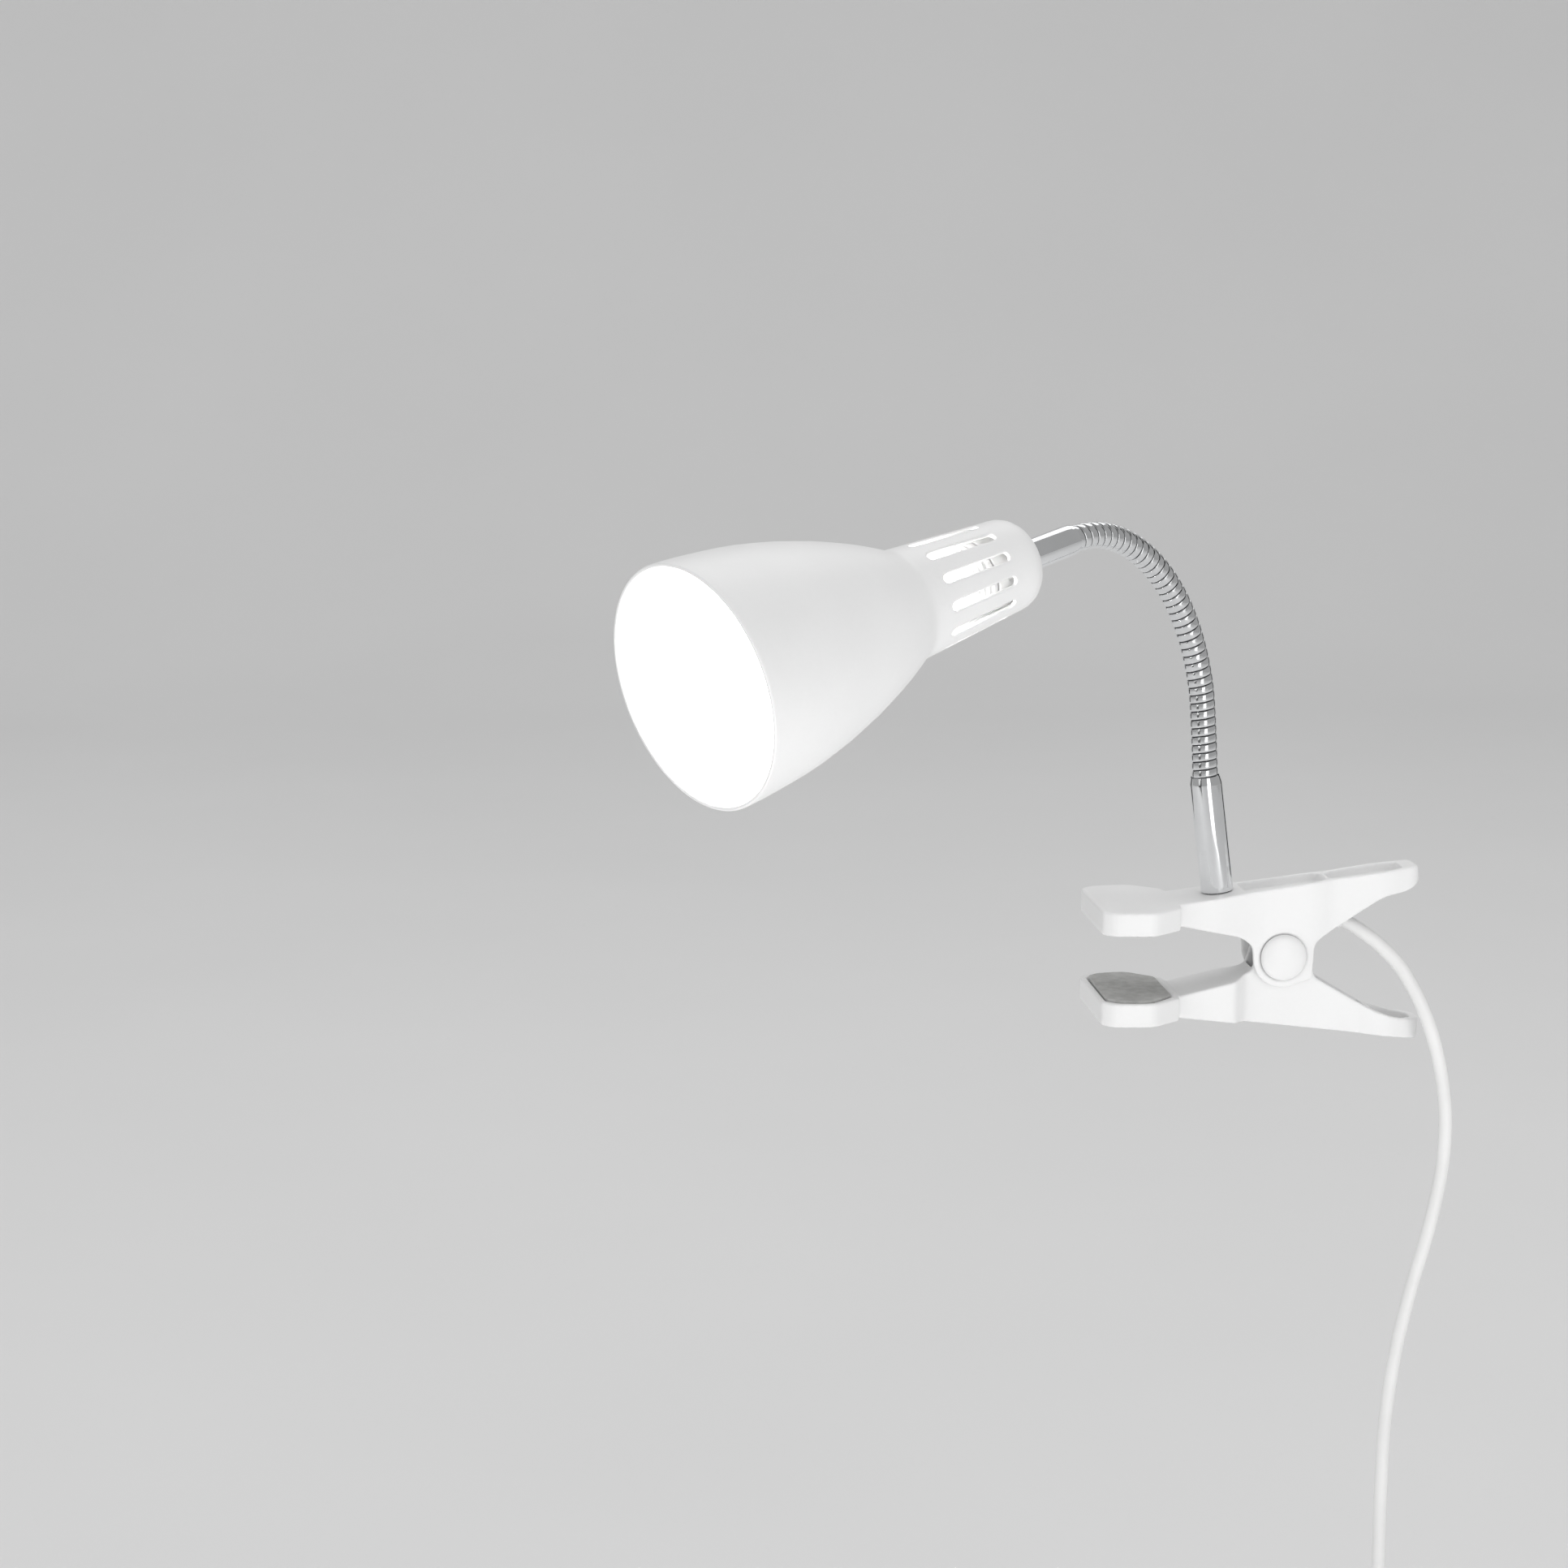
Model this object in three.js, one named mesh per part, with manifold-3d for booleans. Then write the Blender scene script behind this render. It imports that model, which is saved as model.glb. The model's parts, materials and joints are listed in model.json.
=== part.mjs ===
// A clip-on reading lamp: a spring clip, a chrome stem, a bending gooseneck and a bell shade.
// Millimetres, +Z up.  The origin is the middle of the upper jaw's soft liner, on the face
// that rests on the table top.  +X runs from the jaws to the clip's handles.

import * as THREE from 'three';
import { mergeVertices } from 'three/addons/utils/BufferGeometryUtils.js';
import Module from 'manifold-3d';

const wasm = await Module();
wasm.setup();

// ---- driving dimensions ----------------------------------------------------------------

const GAP = 0.3;                        // between two faces that touch

const TABLE = 22;                       // thickness of the board that the clip holds
const HANDLE_SLOPE = deg(7.2);          // the clip's back rises towards the handle's end
const BACK_HEIGHT = 7.05;               // height of the clip's back above the origin
const CHEEK_HALF = 9.2;                 // half the clip's width at the pivot
const WALL = 2.2;
const PIVOT = { x: 51.5, z: -TABLE / 2 };
const CHEEK_RADIUS = 10.7;
const PIN_RADIUS = 2;
const CAP = { radius: 8, rise: 2.8 };
const PAD = { bottom: 0.6, top: 8.8 };
const LINER = { bottom: 0, top: 1.5, inset: 2.4 };
const INNER_HALF = 6.6;                 // half the lower jaw's width between the cheeks
const CHANNEL_HALF = 4.8;               // half the width of the hollow in the lower jaw

const STEM = { x: 29.9, height: 40.8, radius: 5.6, lip: 5.05, bore: 4.8 };
const NIPPLE = { radius: 4, bore: 2.9 };
const NECK = {
  length: 119, radius: 4.5, bore: 2.2, endRise: 2.2, endGap: 0.95,
  lean: deg(6.4),                       // the neck leaves the stem leaning back, away from the shade
  turns: [7.3, 9.6, 11, 13.8, 17.4, 20, 23.9],          // shares of the whole turn, bend by bend
};
const HEAD_SWING = deg(32);             // the shade points this far round from -X towards -Y
const HEAD_DROP = deg(12.8);            // and this far below level

const FERRULE = { length: 22.6, radius: 5.2 };
const SHADE = { length: 137.5, rim: 40, wall: 1.4, cornerAt: 83.4, corner: 19, back: 15.4 };
const SLOTS = { count: 12, from: 91.5, to: 120.8, width: 3.3, turn: deg(-5.7) };
const HOLDER = { radius: 12.3, cap: [7.6, 21], body: [21.3, 47], bore: 7.9, floor: 27 };
const BULB = { radius: 22.5, centre: 81, neck: 6.1, cap: 6.9, wall: 0.8 };

const CORD_RADIUS = 2.5;
const INNER_CORD = 2.3;                 // radius of the cord's part inside the clip
const GRIP = { x: 46, z: 4.6, leg: 5.5, length: 6 };
const SLEEVE = { from: [66.2, -0.33, 3.8], to: [74, -1.15, 0.35] };
const FLOOR = -336;                     // the level that the spare cord lies on
const COIL = { x: 38, y: 12.5, inner: 20, outer: 35, height: 10, lift: 1.2 };
const SWITCH = { x: 88, y: -20, top: -240, length: 60, width: 23, depth: 16, wall: 1.8 };

// ---- finishes --------------------------------------------------------------------------

const finishes = {
  white: { color: 0xe9e9e8, roughness: 0.38, metalness: 0 },
  shade: { color: 0xececea, roughness: 0.42, metalness: 0 },
  liner: { color: 0xb9bab8, roughness: 0.85, metalness: 0 },
  chrome: { color: 0xd4d6d8, roughness: 0.08, metalness: 1 },
  steel: { color: 0xa9abad, roughness: 0.3, metalness: 1 },
  brass: { color: 0xc2a35c, roughness: 0.3, metalness: 1 },
  holder: { color: 0xdfdfdc, roughness: 0.5, metalness: 0 },
  glass: { color: 0xfff6e4, roughness: 0.2, metalness: 0 },
  black: { color: 0x1b1b1c, roughness: 0.4, metalness: 0 },
  cord: { color: 0xe6e6e4, roughness: 0.45, metalness: 0 },
  brown: { color: 0x6b3f22, roughness: 0.5, metalness: 0 },
  blue: { color: 0x2b5fa8, roughness: 0.5, metalness: 0 },
};

const lamp = new THREE.Group();

function deg(angle) {
  return (angle * Math.PI) / 180;
}

function piece(parent, name, geometry, finish) {
  const mesh = new THREE.Mesh(geometry, new THREE.MeshStandardMaterial(finishes[finish]));
  mesh.name = name;
  parent.add(mesh);
  return mesh;
}

// ---- solids ----------------------------------------------------------------------------

function solid(geometry) {
  const plain = geometry.clone();
  plain.deleteAttribute('normal');
  plain.deleteAttribute('uv');
  const merged = mergeVertices(plain, 1e-4);
  return new wasm.Manifold(new wasm.Mesh({
    numProp: 3,
    vertProperties: new Float32Array(merged.attributes.position.array),
    triVerts: new Uint32Array(merged.index.array),
  }));
}

function shape(manifold) {
  const mesh = manifold.getMesh();
  const geometry = new THREE.BufferGeometry();
  geometry.setAttribute('position', new THREE.BufferAttribute(mesh.vertProperties, 3));
  geometry.setIndex(new THREE.BufferAttribute(mesh.triVerts, 1));
  geometry.computeVertexNormals();
  return geometry;
}

function cut(body, ...tools) {
  return tools.reduce((rest, tool) => rest.subtract(solid(tool)), body);
}

function join(body, ...others) {
  return others.reduce((rest, other) => rest.add(solid(other)), body);
}

// A closed outline through the given corners; each corner is [u, v] or [u, v, radius].
function outline(corners) {
  const points = corners.map(([u, v]) => new THREE.Vector2(u, v));
  const path = new THREE.Shape();
  corners.forEach(([, , radius = 0], index) => {
    const here = points[index];
    const before = points[(index + points.length - 1) % points.length];
    const after = points[(index + 1) % points.length];
    const room = 0.48 * Math.min(here.distanceTo(before), here.distanceTo(after));
    const reach = Math.min(radius, room);
    const enter = here.clone().add(before.clone().sub(here).setLength(reach));
    const leave = here.clone().add(after.clone().sub(here).setLength(reach));
    if (index === 0) {
      path.moveTo(enter.x, enter.y);
    } else {
      path.lineTo(enter.x, enter.y);
    }
    if (reach > 0) {
      path.quadraticCurveTo(here.x, here.y, leave.x, leave.y);
    }
  });
  path.closePath();
  return path;
}

// The same outline on both sides of the clip's middle plane.
function mirrored(half) {
  const other = half.map(([u, v, radius]) => [u, -v, radius]).reverse();
  return outline([...half, ...other]);
}

// Extrudes a plan outline (x, y) from one height to another.
function slab(plan, from, to, curveSegments = 3) {
  const settings = { depth: to - from, bevelEnabled: false, curveSegments };
  return new THREE.ExtrudeGeometry(plan, settings).translate(0, 0, from);
}

// Extrudes a side outline (x, z) across the clip, from -half to +half.
function across(side, half, curveSegments = 3) {
  const settings = { depth: 2 * half, bevelEnabled: false, curveSegments };
  return new THREE.ExtrudeGeometry(side, settings).rotateX(Math.PI / 2).translate(0, half, 0);
}

// Turns a profile of [radius, height] points about Z.
function turned(profile, segments = 20) {
  const points = profile.map(([radius, height]) => new THREE.Vector2(radius, height));
  return new THREE.LatheGeometry(points, segments).rotateX(Math.PI / 2);
}

function ring(outer, inner, from, to, segments = 20) {
  return turned([[inner, from], [outer, from], [outer, to], [inner, to], [inner, from]], segments);
}

function rod(radius, from, to, segments = 16) {
  return turned([[0, from], [radius, from], [radius, to], [0, to]], segments);
}

// A rod whose axis runs along Y.
function crossRod(radius, from, to, x, z, segments = 20) {
  return rod(radius, from, to, segments).rotateX(-Math.PI / 2).translate(x, 0, z);
}

function box(x, y, z, from, to) {
  return new THREE.BoxGeometry(to[0] - from[0], to[1] - from[1], to[2] - from[2])
    .translate(x + (from[0] + to[0]) / 2, y + (from[1] + to[1]) / 2, z + (from[2] + to[2]) / 2);
}

function circle(radius, sides) {
  const path = new THREE.Shape();
  for (let side = 0; side < sides; side += 1) {
    const angle = (2 * Math.PI * side) / sides;
    const u = radius * Math.cos(angle);
    const v = radius * Math.sin(angle);
    if (side === 0) {
      path.moveTo(u, v);
    } else {
      path.lineTo(u, v);
    }
  }
  path.closePath();
  return path;
}

// A closed tube along a smooth curve through the given points.
function tube(points, radius, steps, sides = 8) {
  const path = new THREE.CatmullRomCurve3(points.map((p) => new THREE.Vector3(...p)));
  const settings = { steps, bevelEnabled: false, extrudePath: path };
  return new THREE.ExtrudeGeometry(circle(radius, sides), settings);
}

// ---- upper jaw -------------------------------------------------------------------------

const rise = Math.tan(HANDLE_SLOPE);

function back(x) {
  return BACK_HEIGHT + rise * x;
}

const padHalf = [[-14, 20, 1.5], [-10.5, 24, 2.5], [3.5, 25.4, 3], [13.9, 16.6, 1.2]];
const upperHalf = [
  ...padHalf, [14.4, 12, 0.4], [27, 12, 5], [43, CHEEK_HALF + 0.2, 6], [62.5, 8.9, 3],
  [70.5, 7.5, 3], [77, 8.3, 3], [87, 8.7, 4], [98, 6.6, 4], [100.6, 2.5, 2.2],
];

function upperSide() {
  const end = 100.2;
  return outline([
    [-14, PAD.bottom, 0.6], [-14, PAD.top, 0.8], [13.9, PAD.top, 0.3], [end - 1, back(end - 1), 1],
    [end, 13.9, 1], [95.4, 10.8, 3], [86.3, 9.2, 3.5], [62.6, -6.3, 2.5], [61.8, -18.9, 0.8],
    ...cheekArc(), [40.6, -7, 3], [36.5, -3.6, 2.5], [14.6, 1.2, 0.3], [14.2, PAD.bottom, 0.2],
  ]);
}

// The round bottom of the cheek, from its back corner round to its front.
function cheekArc() {
  const points = [];
  for (let step = 0; step <= 12; step += 1) {
    const angle = deg(-62 - step * 10);
    const x = PIVOT.x + CHEEK_RADIUS * Math.cos(angle);
    points.push([x, PIVOT.z + CHEEK_RADIUS * Math.sin(angle)]);
  }
  return points;
}

function upperJaw() {
  let body = solid(across(upperSide(), 30)).intersect(solid(slab(mirrored(upperHalf), -40, 40)));
  const hollowSide = outline([
    [17, -40], [17, back(17) - 2.4], [37, back(37) - 2.4, 1], [38, back(38) - 5, 1],
    [89, back(89) - 5, 2], [91, -40],
  ]);
  const hollowHalf = [
    [16, 12 - WALL], [27, 12 - WALL, 5], [43, CHEEK_HALF + 0.2 - WALL, 6], [62.5, 8.9 - WALL, 3],
    [70.5, 7.5 - WALL + 0.4, 3], [77, 8.3 - WALL, 3], [86, 6, 3], [90, 2, 1],
  ];
  const hollow = solid(across(hollowSide, 30)).intersect(solid(slab(mirrored(hollowHalf), -60, 40)));
  body = body.subtract(hollow);
  body = body.subtract(tray(38.5, 66.5, 1.7)).subtract(tray(68.3, 93.5, 1.7));
  body = cut(
    body,
    crossRod(PIN_RADIUS + GAP, -20, 20, PIVOT.x, PIVOT.z),
    crossRod(CAP.radius + 0.5, -20, -CHEEK_HALF + 0.7, PIVOT.x, PIVOT.z, 32),
    crossRod(CAP.radius + 0.5, CHEEK_HALF - 0.7, 20, PIVOT.x, PIVOT.z, 32),
    slab(mirrored(inset(padHalf, LINER.inset - GAP, 13.6)), -1, LINER.top + GAP),
    placed(rod(NIPPLE.radius + GAP, -12, 6), stemFrame),
  );
  return shape(body);
}

// Pulls an outline of the pad in by the given amount, and ends it square at the given x.
function inset(half, amount, endX) {
  const pulled = half.map(([x, y, radius]) => [x + (x < 0 ? amount : -amount * 0.4), y - amount, radius]);
  pulled[0][0] = half[0][0] + amount;
  pulled[pulled.length - 1] = [endX - amount, half[half.length - 1][1] - amount, 1];
  return pulled;
}

// A recess in the clip's sloping back, between two places along it.
function tray(from, to, rim) {
  const depth = 3;
  const side = outline([
    [from, back(from) - depth, 1.4], [to, back(to) - depth, 1.4], [to, back(to) + 9], [from, back(from) + 9],
  ]);
  const half = upperHalf.slice(5).map(([x, y, radius]) => [x, y - rim, radius]);
  const first = [from, 11.3 - rim - (from - 27) * 0.14];
  const inside = half.filter(([x]) => x > from && x < to - 1);
  const last = half.filter(([x]) => x >= to - 1)[0] || [to, 4];
  const plan = mirrored([first, ...inside, [to, Math.min(last[1], to > 90 ? 5 : 9), 2]]);
  return solid(across(side, 30)).intersect(solid(slab(plan, -40, 60)));
}

// ---- lower jaw -------------------------------------------------------------------------

const lowerHalf = [
  ...padHalf, [14.4, 12, 0.4], [34.5, 12, 1.5], [38.6, INNER_HALF, 1.5], [78, INNER_HALF, 3],
  [83, 7.9, 2], [90, 8.3, 4], [99, 6.2, 4], [101.6, 2.5, 2.2],
];

function lowerSide() {
  const base = -TABLE - BACK_HEIGHT;
  const hub = [];
  for (let step = 0; step <= 10; step += 1) {
    const angle = deg(170 - step * 16);
    hub.push([PIVOT.x + 8.6 * Math.cos(angle), PIVOT.z + 8.6 * Math.sin(angle)]);
  }
  return outline([
    [-14, -TABLE - PAD.top, 0.8], [14, -TABLE - PAD.top, 0.3], [100.2, base - rise * 100.2, 1],
    [101.4, -34.5, 0.8], [92.5, -33.9, 3], [83.4, -30.8, 5], [63.5, -18.9, 1], ...hub.reverse(),
    [41.2, -15.8, 1], [34.7, -18.6, 2], [14.6, -TABLE - 1.2, 0.3],
    [14.2, -TABLE - PAD.bottom, 0.2], [-14, -TABLE - PAD.bottom, 0.6],
  ]);
}

function lowerJaw() {
  let body = solid(across(lowerSide(), 30)).intersect(solid(slab(mirrored(lowerHalf), -70, 20)));
  const channel = outline([
    [41.5, 10], [41.5, -17.5, 2], [50, -20.5, 3], [62, -23.5, 3], [81.5, -34.6, 1.5], [81.5, 10],
  ]);
  const underside = outline([
    [17.5, -70], [17.5, -25.9, 1], [34, -21.8, 2], [40, -20.6, 2], [50, -23, 3], [62, -26, 3],
    [81.5, -37.2, 1], [81.5, -70],
  ]);
  const thumb = mirrored([[84.5, 4.6, 2], [88, 6.4, 3], [94, 6.2, 4], [98.2, 3, 2]]);
  body = body.subtract(solid(across(channel, CHANNEL_HALF)));
  body = body.subtract(solid(across(underside, CHANNEL_HALF)));
  body = cut(
    body,
    slab(thumb, -38, 0),
    crossRod(PIN_RADIUS + GAP, -20, 20, PIVOT.x, PIVOT.z),
    slab(mirrored(inset(padHalf, LINER.inset - GAP, 13.6)), -TABLE - LINER.top - GAP, -TABLE + 1),
  );
  return shape(body);
}

function liner(from, to) {
  return slab(mirrored(inset(padHalf, LINER.inset, 13.6)), from, to);
}

// ---- pivot -----------------------------------------------------------------------------

function pivotCap(side) {
  const seat = CHEEK_HALF - 0.7 + GAP;
  const profile = [[0, seat], [CAP.radius - 0.6, seat], [CAP.radius, seat + 0.5]];
  for (let step = 1; step <= 5; step += 1) {
    const angle = (Math.PI / 2) * (step / 5);
    profile.push([CAP.radius * Math.cos(angle), seat + 0.5 + CAP.rise * Math.sin(angle)]);
  }
  profile[profile.length - 1][0] = 0;
  return turned(profile, 28).rotateX((side * -Math.PI) / 2).translate(PIVOT.x, 0, PIVOT.z);
}

// A coil of spring wire round the pin, with one leg against each handle.
function clipSpring() {
  const radius = 4.2;
  const turns = 4;
  const half = 3.4;
  const wire = 0.7;
  const points = [
    [67, -4.9, back(67) - 6], [64.3, -4.9, back(64.3) - 6.2], [60, -4.6, 2.5], [56, -3.7, -2.6],
  ];
  const start = deg(125);
  const count = turns * 10 + 3;
  for (let step = 0; step <= count; step += 1) {
    const angle = start + (step * 2 * Math.PI) / 10;
    const along = -half + (2 * half * step) / count;
    points.push([PIVOT.x + radius * Math.cos(angle), along, PIVOT.z + radius * Math.sin(angle)]);
  }
  points.push([62, half, -20.4], [76, half, -29.2]);
  return tube(points, wire, 90, 5);
}

// ---- places and directions -------------------------------------------------------------

const stemAxis = new THREE.Vector3(-Math.sin(HANDLE_SLOPE), 0, Math.cos(HANDLE_SLOPE));
const headAxis = new THREE.Vector3(
  -Math.cos(HEAD_SWING) * Math.cos(HEAD_DROP),
  -Math.sin(HEAD_SWING) * Math.cos(HEAD_DROP),
  -Math.sin(HEAD_DROP),
);
const bendAxis = stemAxis.clone().cross(headAxis).normalize();
const bendTotal = stemAxis.angleTo(headAxis);

// A frame whose Z runs along the given axis and whose X lies along the neck's bending axis.
function frameAt(point, axis) {
  const sideways = bendAxis.clone();
  const third = axis.clone().cross(sideways);
  return new THREE.Matrix4().makeBasis(sideways, third, axis).setPosition(point);
}

function placed(geometry, frame) {
  return geometry.applyMatrix4(frame);
}

const stemFoot = new THREE.Vector3(STEM.x, 0, back(STEM.x));
const stemTop = stemFoot.clone().addScaledVector(stemAxis, STEM.height);
const stemFrame = frameAt(stemFoot, stemAxis);

// The neck's bends, with a joint under every second one that lets the neck sway sideways.
function neckJoints() {
  const spacing = NECK.length / (NECK.turns.length + 1);
  const shares = NECK.turns.reduce((sum, share) => sum + share, 0);
  const joints = [];
  NECK.turns.forEach((share, index) => {
    if (index % 2 === 0) {
      joints.push({ at: (index + 1) * spacing, turn: 0 });
    }
    joints.push({ at: (index + 1.5) * spacing, turn: ((bendTotal + NECK.lean) * share) / shares });
  });
  return joints;
}

// The straight stretches between the joints, each with the frame it starts from.
function neckStretches() {
  const stretches = [];
  let from = 0;
  const point = stemTop.clone();
  const axis = stemAxis.clone().applyAxisAngle(bendAxis, -NECK.lean);
  for (const joint of [...neckJoints(), { at: NECK.length, turn: 0 }]) {
    const length = joint.at - from;
    stretches.push({ frame: frameAt(point, axis), length });
    point.addScaledVector(axis, length);
    axis.applyAxisAngle(bendAxis, joint.turn);
    from = joint.at;
  }
  return stretches;
}

function neckEnd() {
  const { frame, length } = neckStretches().pop();
  return frame.multiply(new THREE.Matrix4().makeTranslation(0, 0, length));
}

// ---- stem and neck ---------------------------------------------------------------------

function stemTube() {
  const { height, radius, lip, bore } = STEM;
  const seat = 9.5;
  return turned([
    [NIPPLE.radius + GAP, GAP], [radius, GAP], [radius, height - 2.4], [radius - 0.12, height - 1.2],
    [lip, height], [bore, height], [bore, seat], [NIPPLE.radius + GAP, seat],
    [NIPPLE.radius + GAP, GAP],
  ], 24);
}

function hexNut(flats, thickness, from) {
  const corners = [];
  for (let side = 0; side < 6; side += 1) {
    const angle = (Math.PI / 3) * side;
    const radius = flats / 2 / Math.cos(Math.PI / 6);
    corners.push([radius * Math.cos(angle), radius * Math.sin(angle)]);
  }
  const body = solid(slab(outline(corners), from, from + thickness));
  return shape(cut(body, rod(NIPPLE.radius + GAP, from - 1, from + thickness + 1)));
}

// One short length of gooseneck: a hollow link with domed ends, so that links can lean.
function link(from, to, domedFrom, domedTo) {
  const lower = linkEnd(from, 1, domedFrom);
  const upper = linkEnd(to, -1, domedTo).reverse();
  return turned([...lower, ...upper, lower[0]], 12);
}

function linkEnd(height, inwards, domed) {
  const { radius, bore, endRise, endGap } = NECK;
  if (!domed) {
    return [[bore, height], [radius, height]];
  }
  const steps = 3;
  return Array.from({ length: steps + 1 }, (_, step) => {
    const angle = (Math.PI / 2) * (step / steps);
    const rim = bore + (radius - bore) * Math.sin(angle);
    return [rim, height + inwards * (endGap + endRise * (1 - Math.cos(angle)))];
  });
}

// ---- head ------------------------------------------------------------------------------

// Radius of the shade's outside at a distance from its rim.
const bell = new THREE.SplineCurve([
  [0, SHADE.rim], [11, 39.3], [24, 37.9], [36, 35.7], [50, 32.1], [62, 28.3], [73, 24.2],
  [SHADE.cornerAt, SHADE.corner],
].map(([at, radius]) => new THREE.Vector2(at, radius)));

const backRound = 7;

function shadeProfile(thickness, seat) {
  const outside = bell.getPoints(9).map((point) => [point.y - thickness, point.x]);
  outside.push([SHADE.back - thickness, SHADE.length - backRound]);
  for (let step = 1; step <= 4; step += 1) {
    const angle = (Math.PI / 2) * (step / 4);
    const radius = seat + (SHADE.back - thickness - seat) * Math.cos(angle);
    outside.push([radius, SHADE.length - backRound + (backRound - thickness) * Math.sin(angle)]);
  }
  return outside;
}

// Head pieces are drawn along the shade's axis, from the end of the neck towards the mouth.
const rimPlace = FERRULE.length + SHADE.length;

function fromRim(points) {
  return points.map(([radius, at]) => [radius, rimPlace - at]);
}

function shade() {
  const hole = NIPPLE.radius + GAP;
  const outer = fromRim(shadeProfile(0, 8)).reverse();
  const inner = fromRim(shadeProfile(SHADE.wall, 7.4));
  const profile = [
    [hole, rimPlace - SHADE.length], ...outer, [SHADE.rim - SHADE.wall, rimPlace],
    ...inner.slice(1), [hole, rimPlace - SHADE.length + SHADE.wall],
  ];
  profile.push([...profile[0]]);
  let body = solid(turned(profile, 36));
  for (let index = 0; index < SLOTS.count; index += 1) {
    body = body.subtract(solid(slot(index)));
  }
  return shape(body);
}

// A long hole with round ends through the shade's narrow neck.
function slot(index) {
  const half = SLOTS.width / 2;
  const near = rimPlace - SLOTS.to;
  const far = rimPlace - SLOTS.from;
  const path = new THREE.Shape();
  path.moveTo(-half, near + half);
  path.absarc(0, near + half, half, Math.PI, 2 * Math.PI, false);
  path.lineTo(half, far - half);
  path.absarc(0, far - half, half, 0, Math.PI, false);
  path.closePath();
  const settings = { depth: 14, bevelEnabled: false, curveSegments: 3 };
  const turn = SLOTS.turn + (2 * Math.PI * index) / SLOTS.count;
  const cutter = new THREE.ExtrudeGeometry(path, settings).translate(0, 0, 10);
  return cutter.rotateX(Math.PI / 2).rotateZ(turn);
}

function headTube() {
  const { length, radius } = FERRULE;
  const wide = NECK.radius + GAP;
  const narrow = NIPPLE.radius + GAP;
  return turned([
    [wide, 0], [radius - 0.15, 0], [radius - 0.05, 1], [radius, 2.6], [radius, length - GAP],
    [narrow, length - GAP], [narrow, 6], [wide, 6], [wide, 0],
  ], 24);
}

function holderCap() {
  const [from, to] = HOLDER.cap;
  const { radius } = HOLDER;
  const hole = NIPPLE.radius + GAP;
  return turned([
    [hole, from], [8.6, from], [11, from + 1.2], [radius, from + 3.6], [radius, to],
    [radius - 1.6, to], [radius - 1.6, from + 4.2], [9.6, from + 2], [hole, from + 2], [hole, from],
  ], 24);
}

function holderBody() {
  const [from, to] = HOLDER.body;
  const { radius, bore, floor } = HOLDER;
  return turned([
    [0, from], [radius - 2.4, from], [radius, from + GAP], [radius, to - 7], [radius - 1.4, to - 6.4],
    [radius - 1.4, to], [bore, to], [bore, floor], [0, floor],
  ], 24);
}

function lead(side) {
  const at = (radius, height) => [0, side * radius, height];
  return tube([at(1.2, 5), at(1.2, 10.6), at(3.4, 14), at(6, 16.4), at(6.6, 20.9)], 0.8, 14, 6);
}

// ---- bulb ------------------------------------------------------------------------------

function bulbOutline(thinner) {
  const { radius, centre, neck } = BULB;
  const ball = radius - thinner;
  const points = [[neck - thinner, 39], [neck - thinner, 50.4]];
  const first = deg(-57);
  const steps = 9;
  for (let step = 0; step <= steps; step += 1) {
    const angle = first + ((Math.PI / 2 - first) * step) / steps;
    points.push([ball * Math.cos(angle), centre + ball * Math.sin(angle)]);
  }
  points[points.length - 1][0] = 0;
  return points;
}

function bulbGlass() {
  return turned([...bulbOutline(0), ...bulbOutline(BULB.wall).reverse(), bulbOutline(0)[0]], 22);
}

function bulbCap() {
  const outer = BULB.cap;
  const profile = [[outer - 0.5, 32.2]];
  for (let thread = 0; thread < 4; thread += 1) {
    const at = 33.2 + thread * 3.2;
    profile.push([outer - 0.45, at], [outer, at + 0.9], [outer, at + 1.5], [outer - 0.45, at + 2.3]);
  }
  profile.push([outer - 0.1, 49], [outer - 0.5, 49], [outer - 0.85, 32.2], [outer - 0.5, 32.2]);
  return turned(profile, 18);
}

// ---- cord ------------------------------------------------------------------------------

// The cord's inner run, from the strain relief through the clip and up into the stem.
const innerRun = [
  [69.4, -0.5, 2.6], [67.6, -0.4, 3.3], [63, -0.2, 4.7], [56, 0, 5.1], [50, 0, 5], [44.2, 0, 4.4],
  [38.8, 0, 1.7], [33.6, 0, -0.4], [31.3, 0, 1.4], [30.5, 0, 6], [29.9, 0, 10.9], [29.1, 0, 17.2],
];

// The free cord, from the strain relief to the switch.
const hangingRun = [
  [71.2, -0.65, 1.8], [74.7, -1.4, -0.3], [78.2, -2.6, -2.3], [81.7, -4.2, -4.7], [85.1, -5.8, -7.3],
  [88.2, -7.4, -10.3], [91.1, -8.9, -13.5], [93.6, -10.3, -17], [98.3, -12.4, -25.7],
  [102.3, -13.5, -35.3], [105.5, -14, -46.2], [107.8, -14, -57.8], [108.9, -14, -69.4],
  [108.4, -14, -84], [106.4, -14, -97], [103.5, -14.2, -110], [97.8, -15, -130.4],
  [92.8, -16.4, -152], [89.6, -18, -174], [88.3, -19.4, -198], [88, -20, -220],
  [88, -20, SWITCH.top + GAP],
];

// From the switch down on to the floor and along to the coil.
const floorLevel = FLOOR + CORD_RADIUS;
const landingRadius = 27;
const switchEnd = SWITCH.top - SWITCH.length;

function landingRun() {
  const points = [[SWITCH.x, SWITCH.y, switchEnd - GAP]];
  const top = floorLevel + landingRadius;
  for (let step = 0; step <= 6; step += 1) {
    const angle = (Math.PI / 2) * (step / 6);
    points.push([
      SWITCH.x - landingRadius * (1 - Math.cos(angle)), SWITCH.y, top - landingRadius * Math.sin(angle),
    ]);
  }
  return points;
}

const tailRun = [
  [20.3, -20.6, -333.5], [8, -24.5, -333.5], [-6, -30, -333.5], [-20, -31, -333.5], [-30, -26, -332],
];

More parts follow.
